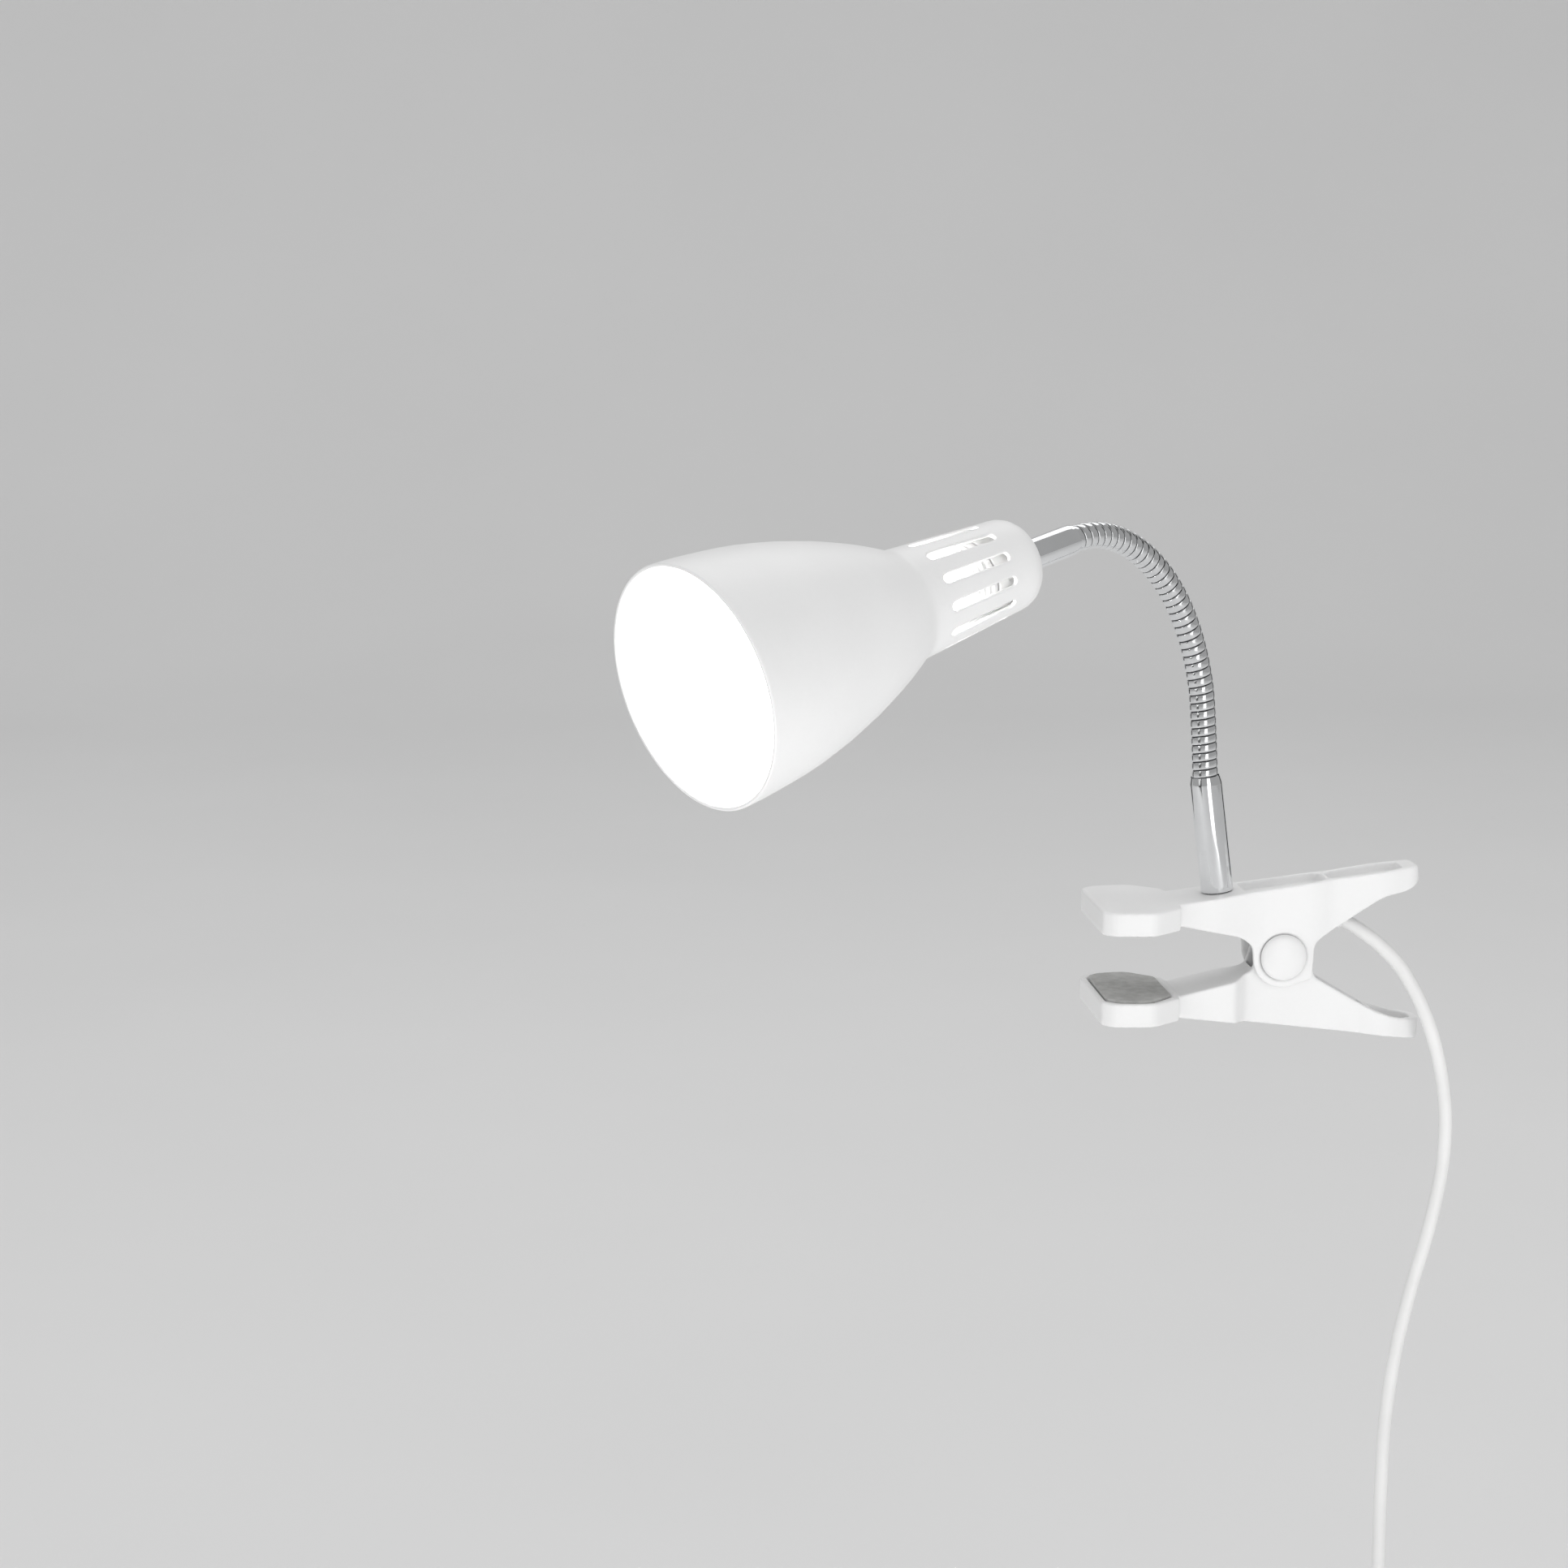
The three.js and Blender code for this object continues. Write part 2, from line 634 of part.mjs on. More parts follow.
// The strap that holds the cord, with a leg on each side up to the underside of the back.
function cordGrip() {
  const roof = (back(GRIP.x) - 5 - GRIP.z) * Math.cos(HANDLE_SLOPE) - GAP;
  const strap = outline([
    [-6.8, roof], [-6.8, -1.2, 0.6], [-4.1, -1.2, 0.4], [-3.9, -4.3, 2], [3.9, -4.3, 2],
    [4.1, -1.2, 0.4], [6.8, -1.2, 0.6], [6.8, roof], [2.7, roof], [2.7, -2.8, 2.4],
    [-2.7, -2.8, 2.4], [-2.7, roof],
  ]);
  const body = slab(strap, -GRIP.length / 2, GRIP.length / 2).rotateX(Math.PI / 2).rotateZ(Math.PI / 2);
  const holes = [-1, 1].map((side) => rod(1, -3, 8, 10).translate(0, side * GRIP.leg, 0));
  return shape(cut(solid(body), ...holes));
}

function gripScrew(side) {
  const profile = [[0, -2.6], [1.2, -2.4], [1.2, -1.5], [0.7, -1.5], [0.7, 2.4], [0, 2.4]];
  return turned(profile, 12).translate(0, side * GRIP.leg, 0);
}

// The tapered sleeve round the cord where it leaves the clip.
function cordSleeve() {
  const from = new THREE.Vector3(...SLEEVE.from);
  const along = new THREE.Vector3(...SLEEVE.to).sub(from);
  const length = along.length();
  const bore = CORD_RADIUS + 0.5;
  const body = turned([
    [bore, 0], [4.4, 0], [4.4, 1.2], [3.8, 1.2], [3.5, length], [bore, length], [bore, 0],
  ], 16);
  const turn = new THREE.Quaternion().setFromUnitVectors(new THREE.Vector3(0, 0, 1), along.normalize());
  return body.applyQuaternion(turn).translate(from.x, from.y, from.z);
}

function coil() {
  const { inner, outer, height, lift } = COIL;
  const low = FLOOR + lift;
  const high = low + height;
  const round = 2;
  return turned([
    [inner + round, low], [outer - round, low], [outer, low + round], [outer, high - round],
    [outer - round, high], [inner + round, high], [inner, high - round], [inner, low + round],
    [inner + round, low],
  ], 32).translate(COIL.x, COIL.y, 0);
}

// A strap round the coil at one place.
function coilTie() {
  const { inner, outer, height, lift } = COIL;
  const width = 7;
  const strap = 0.8;
  const low = FLOOR + lift - GAP;
  const high = FLOOR + lift + height + GAP;
  const near = inner - 0.6;
  const far = outer + GAP;
  const from = [-width / 2, near - strap, low - strap];
  const to = [width / 2, far + strap, high + strap];
  const body = solid(box(COIL.x, COIL.y, 0, from, to));
  return shape(cut(body, box(COIL.x, COIL.y, 0, [-width, near, low], [width, far, high])));
}

// ---- switch and plug -------------------------------------------------------------------

// Half the switch's case; the front half has the rocker's window.
function switchCase(front) {
  const { x, y, top, length, width, depth, wall } = SWITCH;
  const middle = top - length / 2;
  const half = length / 2;
  const plan = outline([
    [-width / 2 + 3, -half, 2], [width / 2 - 3, -half, 2],
    [width / 2, -half + 12, 8], [width / 2, half - 12, 8],
    [width / 2 - 3, half, 2], [-width / 2 + 3, half, 2],
    [-width / 2, half - 12, 8], [-width / 2, -half + 12, 8],
  ]);
  const hollow = outline([
    [-width / 2 + 6, -half + 3], [width / 2 - 6, -half + 3], [width / 2 - wall, -half + 14],
    [width / 2 - wall, half - 14], [width / 2 - 6, half - 3], [-width / 2 + 6, half - 3],
    [-width / 2 + wall, half - 14], [-width / 2 + wall, -half + 14],
  ]);
  const from = front ? GAP / 2 : -depth / 2;
  const to = front ? depth / 2 : -GAP / 2;
  let body = solid(slab(plan, from, to, 4));
  body = cut(body, slab(hollow, front ? -1 : -depth / 2 + wall, front ? depth / 2 - wall : 1));
  body = cut(body, rod(CORD_RADIUS + GAP, -half - 1, half + 1, 16).rotateX(Math.PI / 2));
  if (front) {
    body = cut(body, box(0, 0, 0, [-5.2, -8.8, 0], [5.2, 8.8, depth]));
  } else {
    for (const end of [-1, 1]) {
      body = cut(body, rod(2.6, -depth / 2 - 1, -depth / 2 + 1.3).translate(end * 5.5, end * 19, 0));
    }
  }
  return shape(body).rotateX(Math.PI / 2).translate(x, y, middle);
}

function switchScrew(end) {
  const { x, y, top, length, depth } = SWITCH;
  const low = -depth / 2;
  const head = cut(solid(rod(2.3, low + 0.2, low + 1, 16)), box(0, 0, low, [-3, -0.3, 0], [3, 0.3, 0.6]));
  const placed = shape(head).translate(end * 5.5, end * 19, 0).rotateX(Math.PI / 2);
  return placed.translate(x, y, top - length / 2);
}

// The rocker tips about a line across the switch; its round belly stays inside the window.
function switchRocker() {
  const { x, y, top, length, depth } = SWITCH;
  const side = outline([
    [-6.8, depth / 2 + 2.2, 1], [0, depth / 2 + 0.7, 4], [6.8, depth / 2 - 0.6, 1], [6.4, 2.2, 2],
    [-6.4, 2.2, 2],
  ]);
  const settings = { depth: 9.4, bevelEnabled: false, curveSegments: 4 };
  return new THREE.ExtrudeGeometry(side, settings).translate(0, 0, -4.7).rotateY(Math.PI / 2)
    .rotateX(Math.PI).translate(x, y, top - length / 2);
}

const PLUG = { x: -33, y: -24, z: FLOOR + 7.5, turn: deg(150) };

function plugBody() {
  const half = [
    [0, 3.2], [11, 3.6, 2], [16, 6.4, 4], [20, 12.5, 4], [37, 13, 3], [39, 11, 1], [39, 0],
  ];
  const plan = mirrored(half.slice(0, 6));
  const side = outline([
    [0, -3.2], [14, -3.6, 3], [20, -6.8, 3], [39, -7, 1.5], [39, 7, 1.5], [20, 6.8, 3], [14, 3.6, 3], [0, 3.2],
  ]);
  const body = solid(across(side, 20)).intersect(solid(slab(plan, -10, 10)));
  return shape(cut(body, ...[-1, 1].map((way) => plugBore(way))));
}

function plugBore(way) {
  return rod(2.3, 31, 45, 12).rotateY(Math.PI / 2).translate(0, way * 9.5, 0);
}

function plugPin(way) {
  return turned([[0, 31.4], [2, 31.4], [2, 57.2], [1.2, 58.4], [0, 58.4]], 14)
    .rotateY(Math.PI / 2).translate(0, way * 9.5, 0);
}

// ---- the clip --------------------------------------------------------------------------

const clip = new THREE.Group();
lamp.add(clip);
piece(clip, 'upper_jaw', upperJaw(), 'white');
piece(clip, 'upper_jaw_liner', liner(LINER.bottom, LINER.top), 'liner');
piece(clip, 'lower_jaw', lowerJaw(), 'white');
piece(clip, 'lower_jaw_liner', liner(-TABLE - LINER.top, -TABLE - LINER.bottom), 'liner');
const pinHalf = CHEEK_HALF - 0.7;
piece(clip, 'pivot_pin', crossRod(PIN_RADIUS, -pinHalf, pinHalf, PIVOT.x, PIVOT.z), 'steel');
piece(clip, 'pivot_cap_near', pivotCap(-1), 'white');
piece(clip, 'pivot_cap_far', pivotCap(1), 'white');
piece(clip, 'clip_spring', clipSpring(), 'steel');

// ---- stem and neck ---------------------------------------------------------------------

const stem = new THREE.Group();
stem.applyMatrix4(stemFrame);
lamp.add(stem);
const plate = -2.4;
piece(stem, 'stem_tube', stemTube(), 'chrome');
piece(stem, 'stem_nipple', ring(NIPPLE.radius, NIPPLE.bore, plate - 5.4, 8.6, 16), 'steel');
piece(stem, 'stem_washer', ring(5.9, NIPPLE.radius + GAP, plate - 1 - GAP, plate - GAP), 'steel');
piece(stem, 'stem_nut', hexNut(10.8, 3, plate - 4 - GAP * 2), 'steel');

neckStretches().forEach(({ frame, length }, index, all) => {
  const first = index === 0;
  const last = index === all.length - 1;
  const place = new THREE.Group();
  place.applyMatrix4(frame);
  lamp.add(place);
  const name = first ? 'gooseneck_foot' : `gooseneck_${String(index).padStart(2, '0')}`;
  const geometry = link(first ? -1.6 : 0, last ? length + 5.5 : length, !first, !last);
  piece(place, last ? 'gooseneck_end' : name, geometry, 'chrome');
});

// ---- head ------------------------------------------------------------------------------

const head = new THREE.Group();
head.applyMatrix4(neckEnd());
lamp.add(head);
piece(head, 'head_tube', headTube(), 'chrome');
piece(head, 'shade', shade(), 'shade');

// Pieces inside the shade are drawn from the shade's back towards its mouth.
const fittings = new THREE.Group();
fittings.position.z = FERRULE.length;
head.add(fittings);
piece(fittings, 'head_nipple', ring(NIPPLE.radius, NIPPLE.bore, -10, 11.5, 16), 'steel');
piece(fittings, 'head_washer', ring(6.8, NIPPLE.radius + GAP, 1.7, 2.5), 'steel');
piece(fittings, 'head_nut', hexNut(12, 3.6, 2.8), 'steel');
piece(fittings, 'lampholder_cap', holderCap(), 'holder');
piece(fittings, 'lampholder_body', holderBody(), 'holder');
piece(fittings, 'screw_shell', ring(7.6, 7.2, 28.6, 45, 24), 'brass');
piece(fittings, 'centre_contact', turned([[0, 27.3], [3, 27.3], [3, 27.8], [0, 27.9]], 12), 'brass');
piece(fittings, 'lead_live', lead(1), 'brown');
piece(fittings, 'lead_neutral', lead(-1), 'blue');
piece(fittings, 'bulb_glass', bulbGlass(), 'glass');
piece(fittings, 'bulb_cap', bulbCap(), 'steel');
piece(fittings, 'bulb_insulator', turned([[0, 29.6], [2.4, 29.6], [5.6, 31.9], [0, 31.9]], 16), 'black');
piece(fittings, 'bulb_contact', turned([[0, 28.2], [1.6, 28.4], [2.2, 29.3], [0, 29.3]], 12), 'steel');

// ---- cord ------------------------------------------------------------------------------

// A bridge with a screw on each side holds the cord up against the underside of the clip's back.
const grip = new THREE.Group();
grip.position.set(GRIP.x, 0, GRIP.z);
grip.rotation.y = -HANDLE_SLOPE;
lamp.add(grip);
piece(grip, 'cord_grip', cordGrip(), 'white');
piece(grip, 'cord_grip_screw_1', gripScrew(1), 'steel');
piece(grip, 'cord_grip_screw_2', gripScrew(-1), 'steel');

piece(lamp, 'cord_sleeve', cordSleeve(), 'white');
piece(lamp, 'cord_inner', tube(innerRun, INNER_CORD, 36), 'cord');
piece(lamp, 'cord_to_switch', tube(hangingRun, CORD_RADIUS, 36), 'cord');
piece(lamp, 'cord_to_coil', tube(landingRun(), CORD_RADIUS, 10), 'cord');
piece(lamp, 'cord_coil', coil(), 'cord');
piece(lamp, 'coil_tie', coilTie(), 'white');
piece(lamp, 'cord_to_plug', tube(tailRun, CORD_RADIUS, 10), 'cord');
piece(lamp, 'switch_front', switchCase(true), 'white');
piece(lamp, 'switch_back', switchCase(false), 'white');
piece(lamp, 'switch_rocker', switchRocker(), 'white');
piece(lamp, 'switch_screw_1', switchScrew(1), 'steel');
piece(lamp, 'switch_screw_2', switchScrew(-1), 'steel');

const plug = new THREE.Group();
plug.position.set(PLUG.x, PLUG.y, PLUG.z);
plug.rotation.z = PLUG.turn;
lamp.add(plug);
piece(plug, 'plug_body', plugBody(), 'white');
piece(plug, 'plug_pin_1', plugPin(1), 'steel');
piece(plug, 'plug_pin_2', plugPin(-1), 'steel');

export default lamp;
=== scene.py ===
import json
import math
from bisect import bisect_right

import bmesh
import bpy
from mathutils import Matrix, Vector


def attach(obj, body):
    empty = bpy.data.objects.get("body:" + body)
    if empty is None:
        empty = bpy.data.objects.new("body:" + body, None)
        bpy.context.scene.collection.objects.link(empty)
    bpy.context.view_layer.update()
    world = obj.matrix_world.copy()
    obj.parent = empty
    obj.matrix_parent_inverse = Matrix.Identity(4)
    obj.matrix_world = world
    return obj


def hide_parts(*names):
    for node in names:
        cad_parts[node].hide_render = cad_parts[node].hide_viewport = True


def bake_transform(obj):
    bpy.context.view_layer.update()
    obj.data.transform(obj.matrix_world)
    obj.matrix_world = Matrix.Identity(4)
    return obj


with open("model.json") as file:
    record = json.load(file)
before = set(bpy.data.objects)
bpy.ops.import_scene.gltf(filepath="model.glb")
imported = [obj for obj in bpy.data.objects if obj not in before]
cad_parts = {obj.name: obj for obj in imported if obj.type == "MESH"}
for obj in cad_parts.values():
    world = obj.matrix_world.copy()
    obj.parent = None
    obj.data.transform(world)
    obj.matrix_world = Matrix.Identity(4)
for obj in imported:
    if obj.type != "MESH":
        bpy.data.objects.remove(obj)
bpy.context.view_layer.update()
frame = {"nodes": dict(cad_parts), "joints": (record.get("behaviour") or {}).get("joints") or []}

# A clip-on reading lamp: a moulded clip, a plated stem and gooseneck, and a slotted bell shade
# with a lit bulb in it. Metres, +Z up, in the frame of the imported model.

MM = 0.001
GROUND = -336                   # the floor's height, in millimetres
CORD = 5 * MM


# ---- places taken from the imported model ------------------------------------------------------

joints = {joint["name"]: joint for joint in frame["joints"]}


def joint_place(name):
    return Vector(joints[name]["pos_m"])


head_axis = Vector(joints["bulb_out"]["axis"]).normalized()
bend_axis = Vector(joints["neck_bend"]["axis"]).normalized()
STEP = (joint_place("neck_bend_1") - joint_place("neck_sway_1")).length     # half a bend's spacing
foot_axis = (joint_place("neck_bend_1") - joint_place("neck_sway_1")).normalized()
neck_start = joint_place("neck_sway_1") - foot_axis * 2 * STEP
neck_end = joint_place("neck_bend") + head_axis * STEP

CLIP_SLOPE = math.radians(7.2)
stem_axis = Vector((-math.sin(CLIP_SLOPE), 0, math.cos(CLIP_SLOPE)))
STEM_HEIGHT = 40.8 * MM
stem_foot = neck_start - stem_axis * STEM_HEIGHT

FERRULE = 22.6 * MM
SHADE_LENGTH = 137.5 * MM
shade_back = neck_end + head_axis * FERRULE


def frame_along(point, axis, across):
    """A matrix whose Z runs along axis and whose X lies as near across as it can."""
    z = axis.normalized()
    x = (across - z * across.dot(z)).normalized()
    y = z.cross(x)
    turn = Matrix((x, y, z)).transposed().to_4x4()
    return Matrix.Translation(point) @ turn


in_stem = frame_along(stem_foot, stem_axis, Vector((0, 1, 0)))
in_head = frame_along(shade_back, head_axis, bend_axis)


# ---- camera ----------------------------------------------------------------------------------

camera = bpy.data.objects.new("camera", bpy.data.cameras.new("camera"))
bpy.context.scene.collection.objects.link(camera)
camera.data.lens = 85
camera.data.sensor_width = 36
camera.data.clip_end = 30
camera.location = (-0.2490, -1.2265, 0.2667)
camera.rotation_euler = Vector((0.103, 0.9796, -0.1723)).to_track_quat("-Z", "Y").to_euler()
bpy.context.scene.camera = camera
bpy.context.scene.view_settings.view_transform = "Standard"


# ---- finishes --------------------------------------------------------------------------------

# A colour Mix node's sockets share their names with its other sockets, so they go by place.
MIX_FACTOR, MIX_FIRST, MIX_SECOND, MIX_RESULT = 0, 6, 7, 2


class Value:
    """A node socket that takes part in sums, so that an expression adds its Math nodes."""

    def __init__(self, nodes, socket):
        self.nodes = nodes
        self.socket = socket

    def _sum(self, operation, other):
        settings = {"operation": operation}
        return self.nodes.node("ShaderNodeMath", settings, [self, other])["Value"]

    def __add__(self, other):
        return self._sum("ADD", other)

    __radd__ = __add__

    def __mul__(self, other):
        return self._sum("MULTIPLY", other)

    __rmul__ = __mul__


class Outputs:
    """What Nodes.node gives back: the new node's outputs, by name or place."""

    def __init__(self, nodes, node):
        self.nodes = nodes
        self.node = node

    def __getitem__(self, name):
        return Value(self.nodes, self.node.outputs[name])


class Nodes:
    """A node tree, emptied and built again through one method."""

    def __init__(self, tree):
        self.tree = tree
        tree.nodes.clear()

    def node(self, kind, settings=None, inputs=None):
        """Adds a node: its settings first, then its inputs, by name or in order."""
        node = self.tree.nodes.new(kind)
        for name, value in (settings or {}).items():
            setattr(node, name, value)
        pairs = inputs.items() if isinstance(inputs, dict) else enumerate(inputs or [])
        for name, value in pairs:
            socket = node.inputs[name]
            if isinstance(value, Value):
                self.tree.links.new(value.socket, socket)
            else:
                socket.default_value = value
        return Outputs(self, node)


class Finish(Nodes):
    """A material and the nodes in it."""

    def __init__(self, name):
        self.material = bpy.data.materials.new(name)
        self.material.use_nodes = True
        super().__init__(self.material.node_tree)
        self.place = self.node("ShaderNodeTexCoord")["Object"]

    def noise(self, scale, detail=3.0, roughness=0.5, place=None):
        """Noise with that many features to a metre."""
        inputs = {"Vector": place or self.place, "Scale": scale, "Detail": detail}
        inputs["Roughness"] = roughness
        return self.node("ShaderNodeTexNoise", None, inputs)["Fac"]

    def spread(self, value, low, high, out_low, out_high):
        """Carries a value from one range to another, and clamps it there."""
        inputs = {
            "Value": value, "From Min": low, "From Max": high,
            "To Min": out_low, "To Max": out_high,
        }
        return self.node("ShaderNodeMapRange", {"clamp": True}, inputs)["Result"]

    def blend(self, factor, first, second):
        """Mixes two colours."""
        inputs = {MIX_FACTOR: factor, MIX_FIRST: first, MIX_SECOND: second}
        return self.node("ShaderNodeMix", {"data_type": "RGBA"}, inputs)[MIX_RESULT]

    def bump(self, height, distance, strength=1.0, normal=None):
        """Bends the normal by a height that is worth a distance in metres."""
        inputs = {"Height": height, "Distance": distance, "Strength": strength}
        if normal is not None:
            inputs["Normal"] = normal
        return self.node("ShaderNodeBump", None, inputs)["Normal"]

    def surface(self, **inputs):
        """The shader itself; socket names are written with underscores for spaces."""
        named = {name.replace("_", " "): value for name, value in inputs.items()}
        shader = self.node("ShaderNodeBsdfPrincipled", None, named)
        self.node("ShaderNodeOutputMaterial", None, {"Surface": shader["BSDF"]})
        return self.material


def grey(level):
    return (level, level, level, 1.0)


def darkened(colour, share):
    return tuple(channel * share for channel in colour[:3]) + (1.0,)


def moulded_plastic(name, light, dark, roughness, grain=0.00002):
    """Smooth injection-moulded plastic: faint flow clouds, an orange-peel skin and dull patches."""
    finish = Finish(name)
    clouds = finish.noise(28, 4, 0.55)
    specks = finish.noise(900, 2)
    tone = finish.spread(clouds * 0.8 + specks * 0.2, 0.35, 0.65, 0, 1)
    handled = finish.spread(finish.noise(70, 5, 0.6), 0.35, 0.7, roughness - 0.05, roughness + 0.07)
    skin = finish.bump(finish.noise(650, 2, 0.4), grain * 2, 0.5)
    peel = finish.bump(finish.noise(2600, 2), grain, 0.6, skin)
    return finish.surface(
        Base_Color=finish.blend(tone, dark, light), Roughness=handled, Normal=peel, IOR=1.49,
    )


def plated_metal(name, colour, roughness, wiped=0.035, stretch=(400, 400, 40)):
    """Bright plating with faint polishing lines and the haze that handling leaves."""
    finish = Finish(name)
    scaled = finish.node(
        "ShaderNodeVectorMath", {"operation": "MULTIPLY"}, [finish.place, stretch],
    )["Vector"]
    lines = finish.noise(6, 3, 0.6, scaled)
    haze = finish.noise(90, 4, 0.6)
    dull = finish.spread(haze * 0.7 + lines * 0.3, 0.38, 0.68, roughness, roughness + wiped)
    tone = finish.spread(haze, 0.3, 0.7, 0, 1)
    return finish.surface(
        Base_Color=finish.blend(tone, darkened(colour, 0.94), colour), Roughness=dull,
        Metallic=1.0, Normal=finish.bump(lines, 0.000004, 0.4),
    )


def soft_liner():
    """The pads' fine-celled foam rubber."""
    finish = Finish("soft_liner")
    cells = finish.node("ShaderNodeTexVoronoi", None, {"Vector": finish.place, "Scale": 1500.0})
    tone = finish.spread(finish.noise(300, 4), 0.35, 0.65, 0, 1)
    return finish.surface(
        Base_Color=finish.blend(tone, (0.42, 0.42, 0.41, 1), (0.52, 0.52, 0.51, 1)),
        Roughness=0.85, Normal=finish.bump(cells["Distance"], 0.00012, 0.6),
    )


def cord_sheath():
    """Smooth sheath, a little duller where it has been handled."""
    finish = Finish("cord_sheath")
    tone = finish.spread(finish.noise(60, 3), 0.35, 0.65, 0, 1)
    return finish.surface(
        Base_Color=finish.blend(tone, (0.78, 0.78, 0.775, 1), (0.82, 0.82, 0.815, 1)),
        Roughness=finish.spread(finish.noise(160, 4), 0.35, 0.7, 0.36, 0.5),
        Normal=finish.bump(finish.noise(1400, 2), 0.00003, 0.5),
    )


def lit_glass():
    """The lit bulb's frosted glass, with a faint grain in the frost."""
    finish = Finish("lit_glass")
    frost = finish.noise(1200, 2)
    return finish.surface(
        Base_Color=(0.95, 0.94, 0.92, 1), Roughness=0.5,
        Emission_Color=finish.blend(frost, (1.0, 0.985, 0.965, 1), (1.0, 1.0, 0.99, 1)),
        Emission_Strength=40.0, Normal=finish.bump(frost, 0.00002, 0.4),
    )


def insulated(name, colour):
    """The dull coloured skin of a lead or of the bulb's insulator."""
    finish = Finish(name)
    tone = finish.spread(finish.noise(500, 3), 0.35, 0.65, 0, 1)
    return finish.surface(
        Base_Color=finish.blend(tone, darkened(colour, 0.85), colour), Roughness=0.45,
        Normal=finish.bump(finish.noise(2000, 2), 0.00002, 0.5),
    )


clip_white = moulded_plastic("clip_white", grey(0.83), grey(0.805), 0.34)
shade_white = moulded_plastic("shade_white", grey(0.83), grey(0.805), 0.40)
holder_white = moulded_plastic("holder_white", grey(0.80), grey(0.77), 0.5)
chrome = plated_metal("chrome", (0.90, 0.91, 0.92, 1), 0.055)
neck_chrome = plated_metal("neck_chrome", (0.86, 0.87, 0.88, 1), 0.12)
# Dark plating for the strip's faces down in the gaps between its turns: painted shade for the
# grooves.
neck_gap_painted_shade = plated_metal("neck_gap_painted_shade", (0.10, 0.10, 0.105, 1), 0.5, 0.1)
steel = plated_metal("steel", (0.62, 0.63, 0.64, 1), 0.25, 0.12)
brass = plated_metal("brass", (0.72, 0.55, 0.26, 1), 0.25, 0.12)
liner_finish = soft_liner()
sheath = cord_sheath()
bulb_light = lit_glass()
black_glaze = insulated("black_glaze", (0.03, 0.03, 0.032, 1))
brown_lead = insulated("brown_lead", (0.20, 0.09, 0.04, 1))
blue_lead = insulated("blue_lead", (0.05, 0.15, 0.42, 1))


# ---- making pieces ---------------------------------------------------------------------------

def piece(name, points, faces, material, slot, body, *nodes, crease=35):
    """A mesh piece that rides on a body and stands for CAD nodes."""
    mesh = bpy.data.meshes.new(name)
    mesh.from_pydata([tuple(point) for point in points], [], faces)
    mesh.validate()
    return finished(name, mesh, material, slot, body, *nodes, crease=crease)


def finished(name, mesh, material, slot, body, *nodes, crease=35):
    """Turns a mesh into a piece; edges sharper than crease, in degrees, stay sharp."""
    made = bpy.data.objects.new(name, mesh)
    bpy.context.scene.collection.objects.link(made)
    mesh.materials.clear()
    mesh.materials.append(material)
    outward(mesh)
    mesh.shade_smooth()
    if crease:
        mesh.set_sharp_from_angle(angle=math.radians(crease))
    if nodes:
        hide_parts(*nodes)
    if body:
        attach(made, body)
    return made


def outward(mesh):
    """Turns every face to look outwards."""
    work = bmesh.new()
    work.from_mesh(mesh)
    bmesh.ops.recalc_face_normals(work, faces=work.faces)
    work.to_mesh(mesh)
    work.free()


ON_AXIS = 1e-7                  # a smaller radius is a single point on the axis


def turned(profile, place, segments=64):
    """Points and faces of a (radius, height) profile turned about Z; a closed one makes a ring."""
    closed = profile[0] == profile[-1]
    rows = profile[:-1] if closed else profile
    points, first, faces = [], [], []
    for radius, height in rows:
        first.append(len(points))
        count = segments if radius > ON_AXIS else 1
        for step in range(count):
            angle = 2 * math.pi * step / segments
            spot = Vector((radius * math.cos(angle), radius * math.sin(angle), height))
            points.append(place @ spot)
    pairs = list(zip(range(len(rows)), range(1, len(rows))))
    if closed:
        pairs.append((len(rows) - 1, 0))
    for low, high in pairs:
        ends = [rows[low][0] > ON_AXIS, rows[high][0] > ON_AXIS]
        for step in range(segments):
            after = (step + 1) % segments
            a, b = first[low] + step, first[low] + after
            c, d = first[high] + after, first[high] + step
            if all(ends):
                faces.append((a, b, c, d))
            elif ends[0]:
                faces.append((a, b, first[high]))
            elif ends[1]:
                faces.append((first[low], c, d))
    return points, faces


def curved(start, corner, end, share):
    """A point on the curve that leaves start and reaches end, pulled towards a corner."""
    return start * (1 - share) ** 2 + corner * 2 * share * (1 - share) + end * share ** 2


def rounded(corners, radius, steps=4):
    """Rounds every corner of a profile by the same radius, keeping its two ends."""
    out = [corners[0]]
    for before, here, after in zip(corners, corners[1:], corners[2:]):
        here_at = Vector(here)
        back, on = Vector(before) - here_at, Vector(after) - here_at
        reach = min(radius, 0.45 * back.length, 0.45 * on.length)
        enter, leave = here_at + back.normalized() * reach, here_at + on.normalized() * reach
        for step in range(steps + 1):
            share = step / steps
            point = curved(enter, here_at, leave, share)
            out.append((point.x, point.y))
    out.append(corners[-1])
    return out


def ring_profile(corners, radius):
    """A closed profile with every corner rounded but the one where it starts and ends."""
    profile = rounded(corners, radius)
    return profile[:-1] + profile[:1]


def in_mm(profile):
    """A profile given in millimetres, in metres."""
    return [(radius * MM, height * MM) for radius, height in profile]


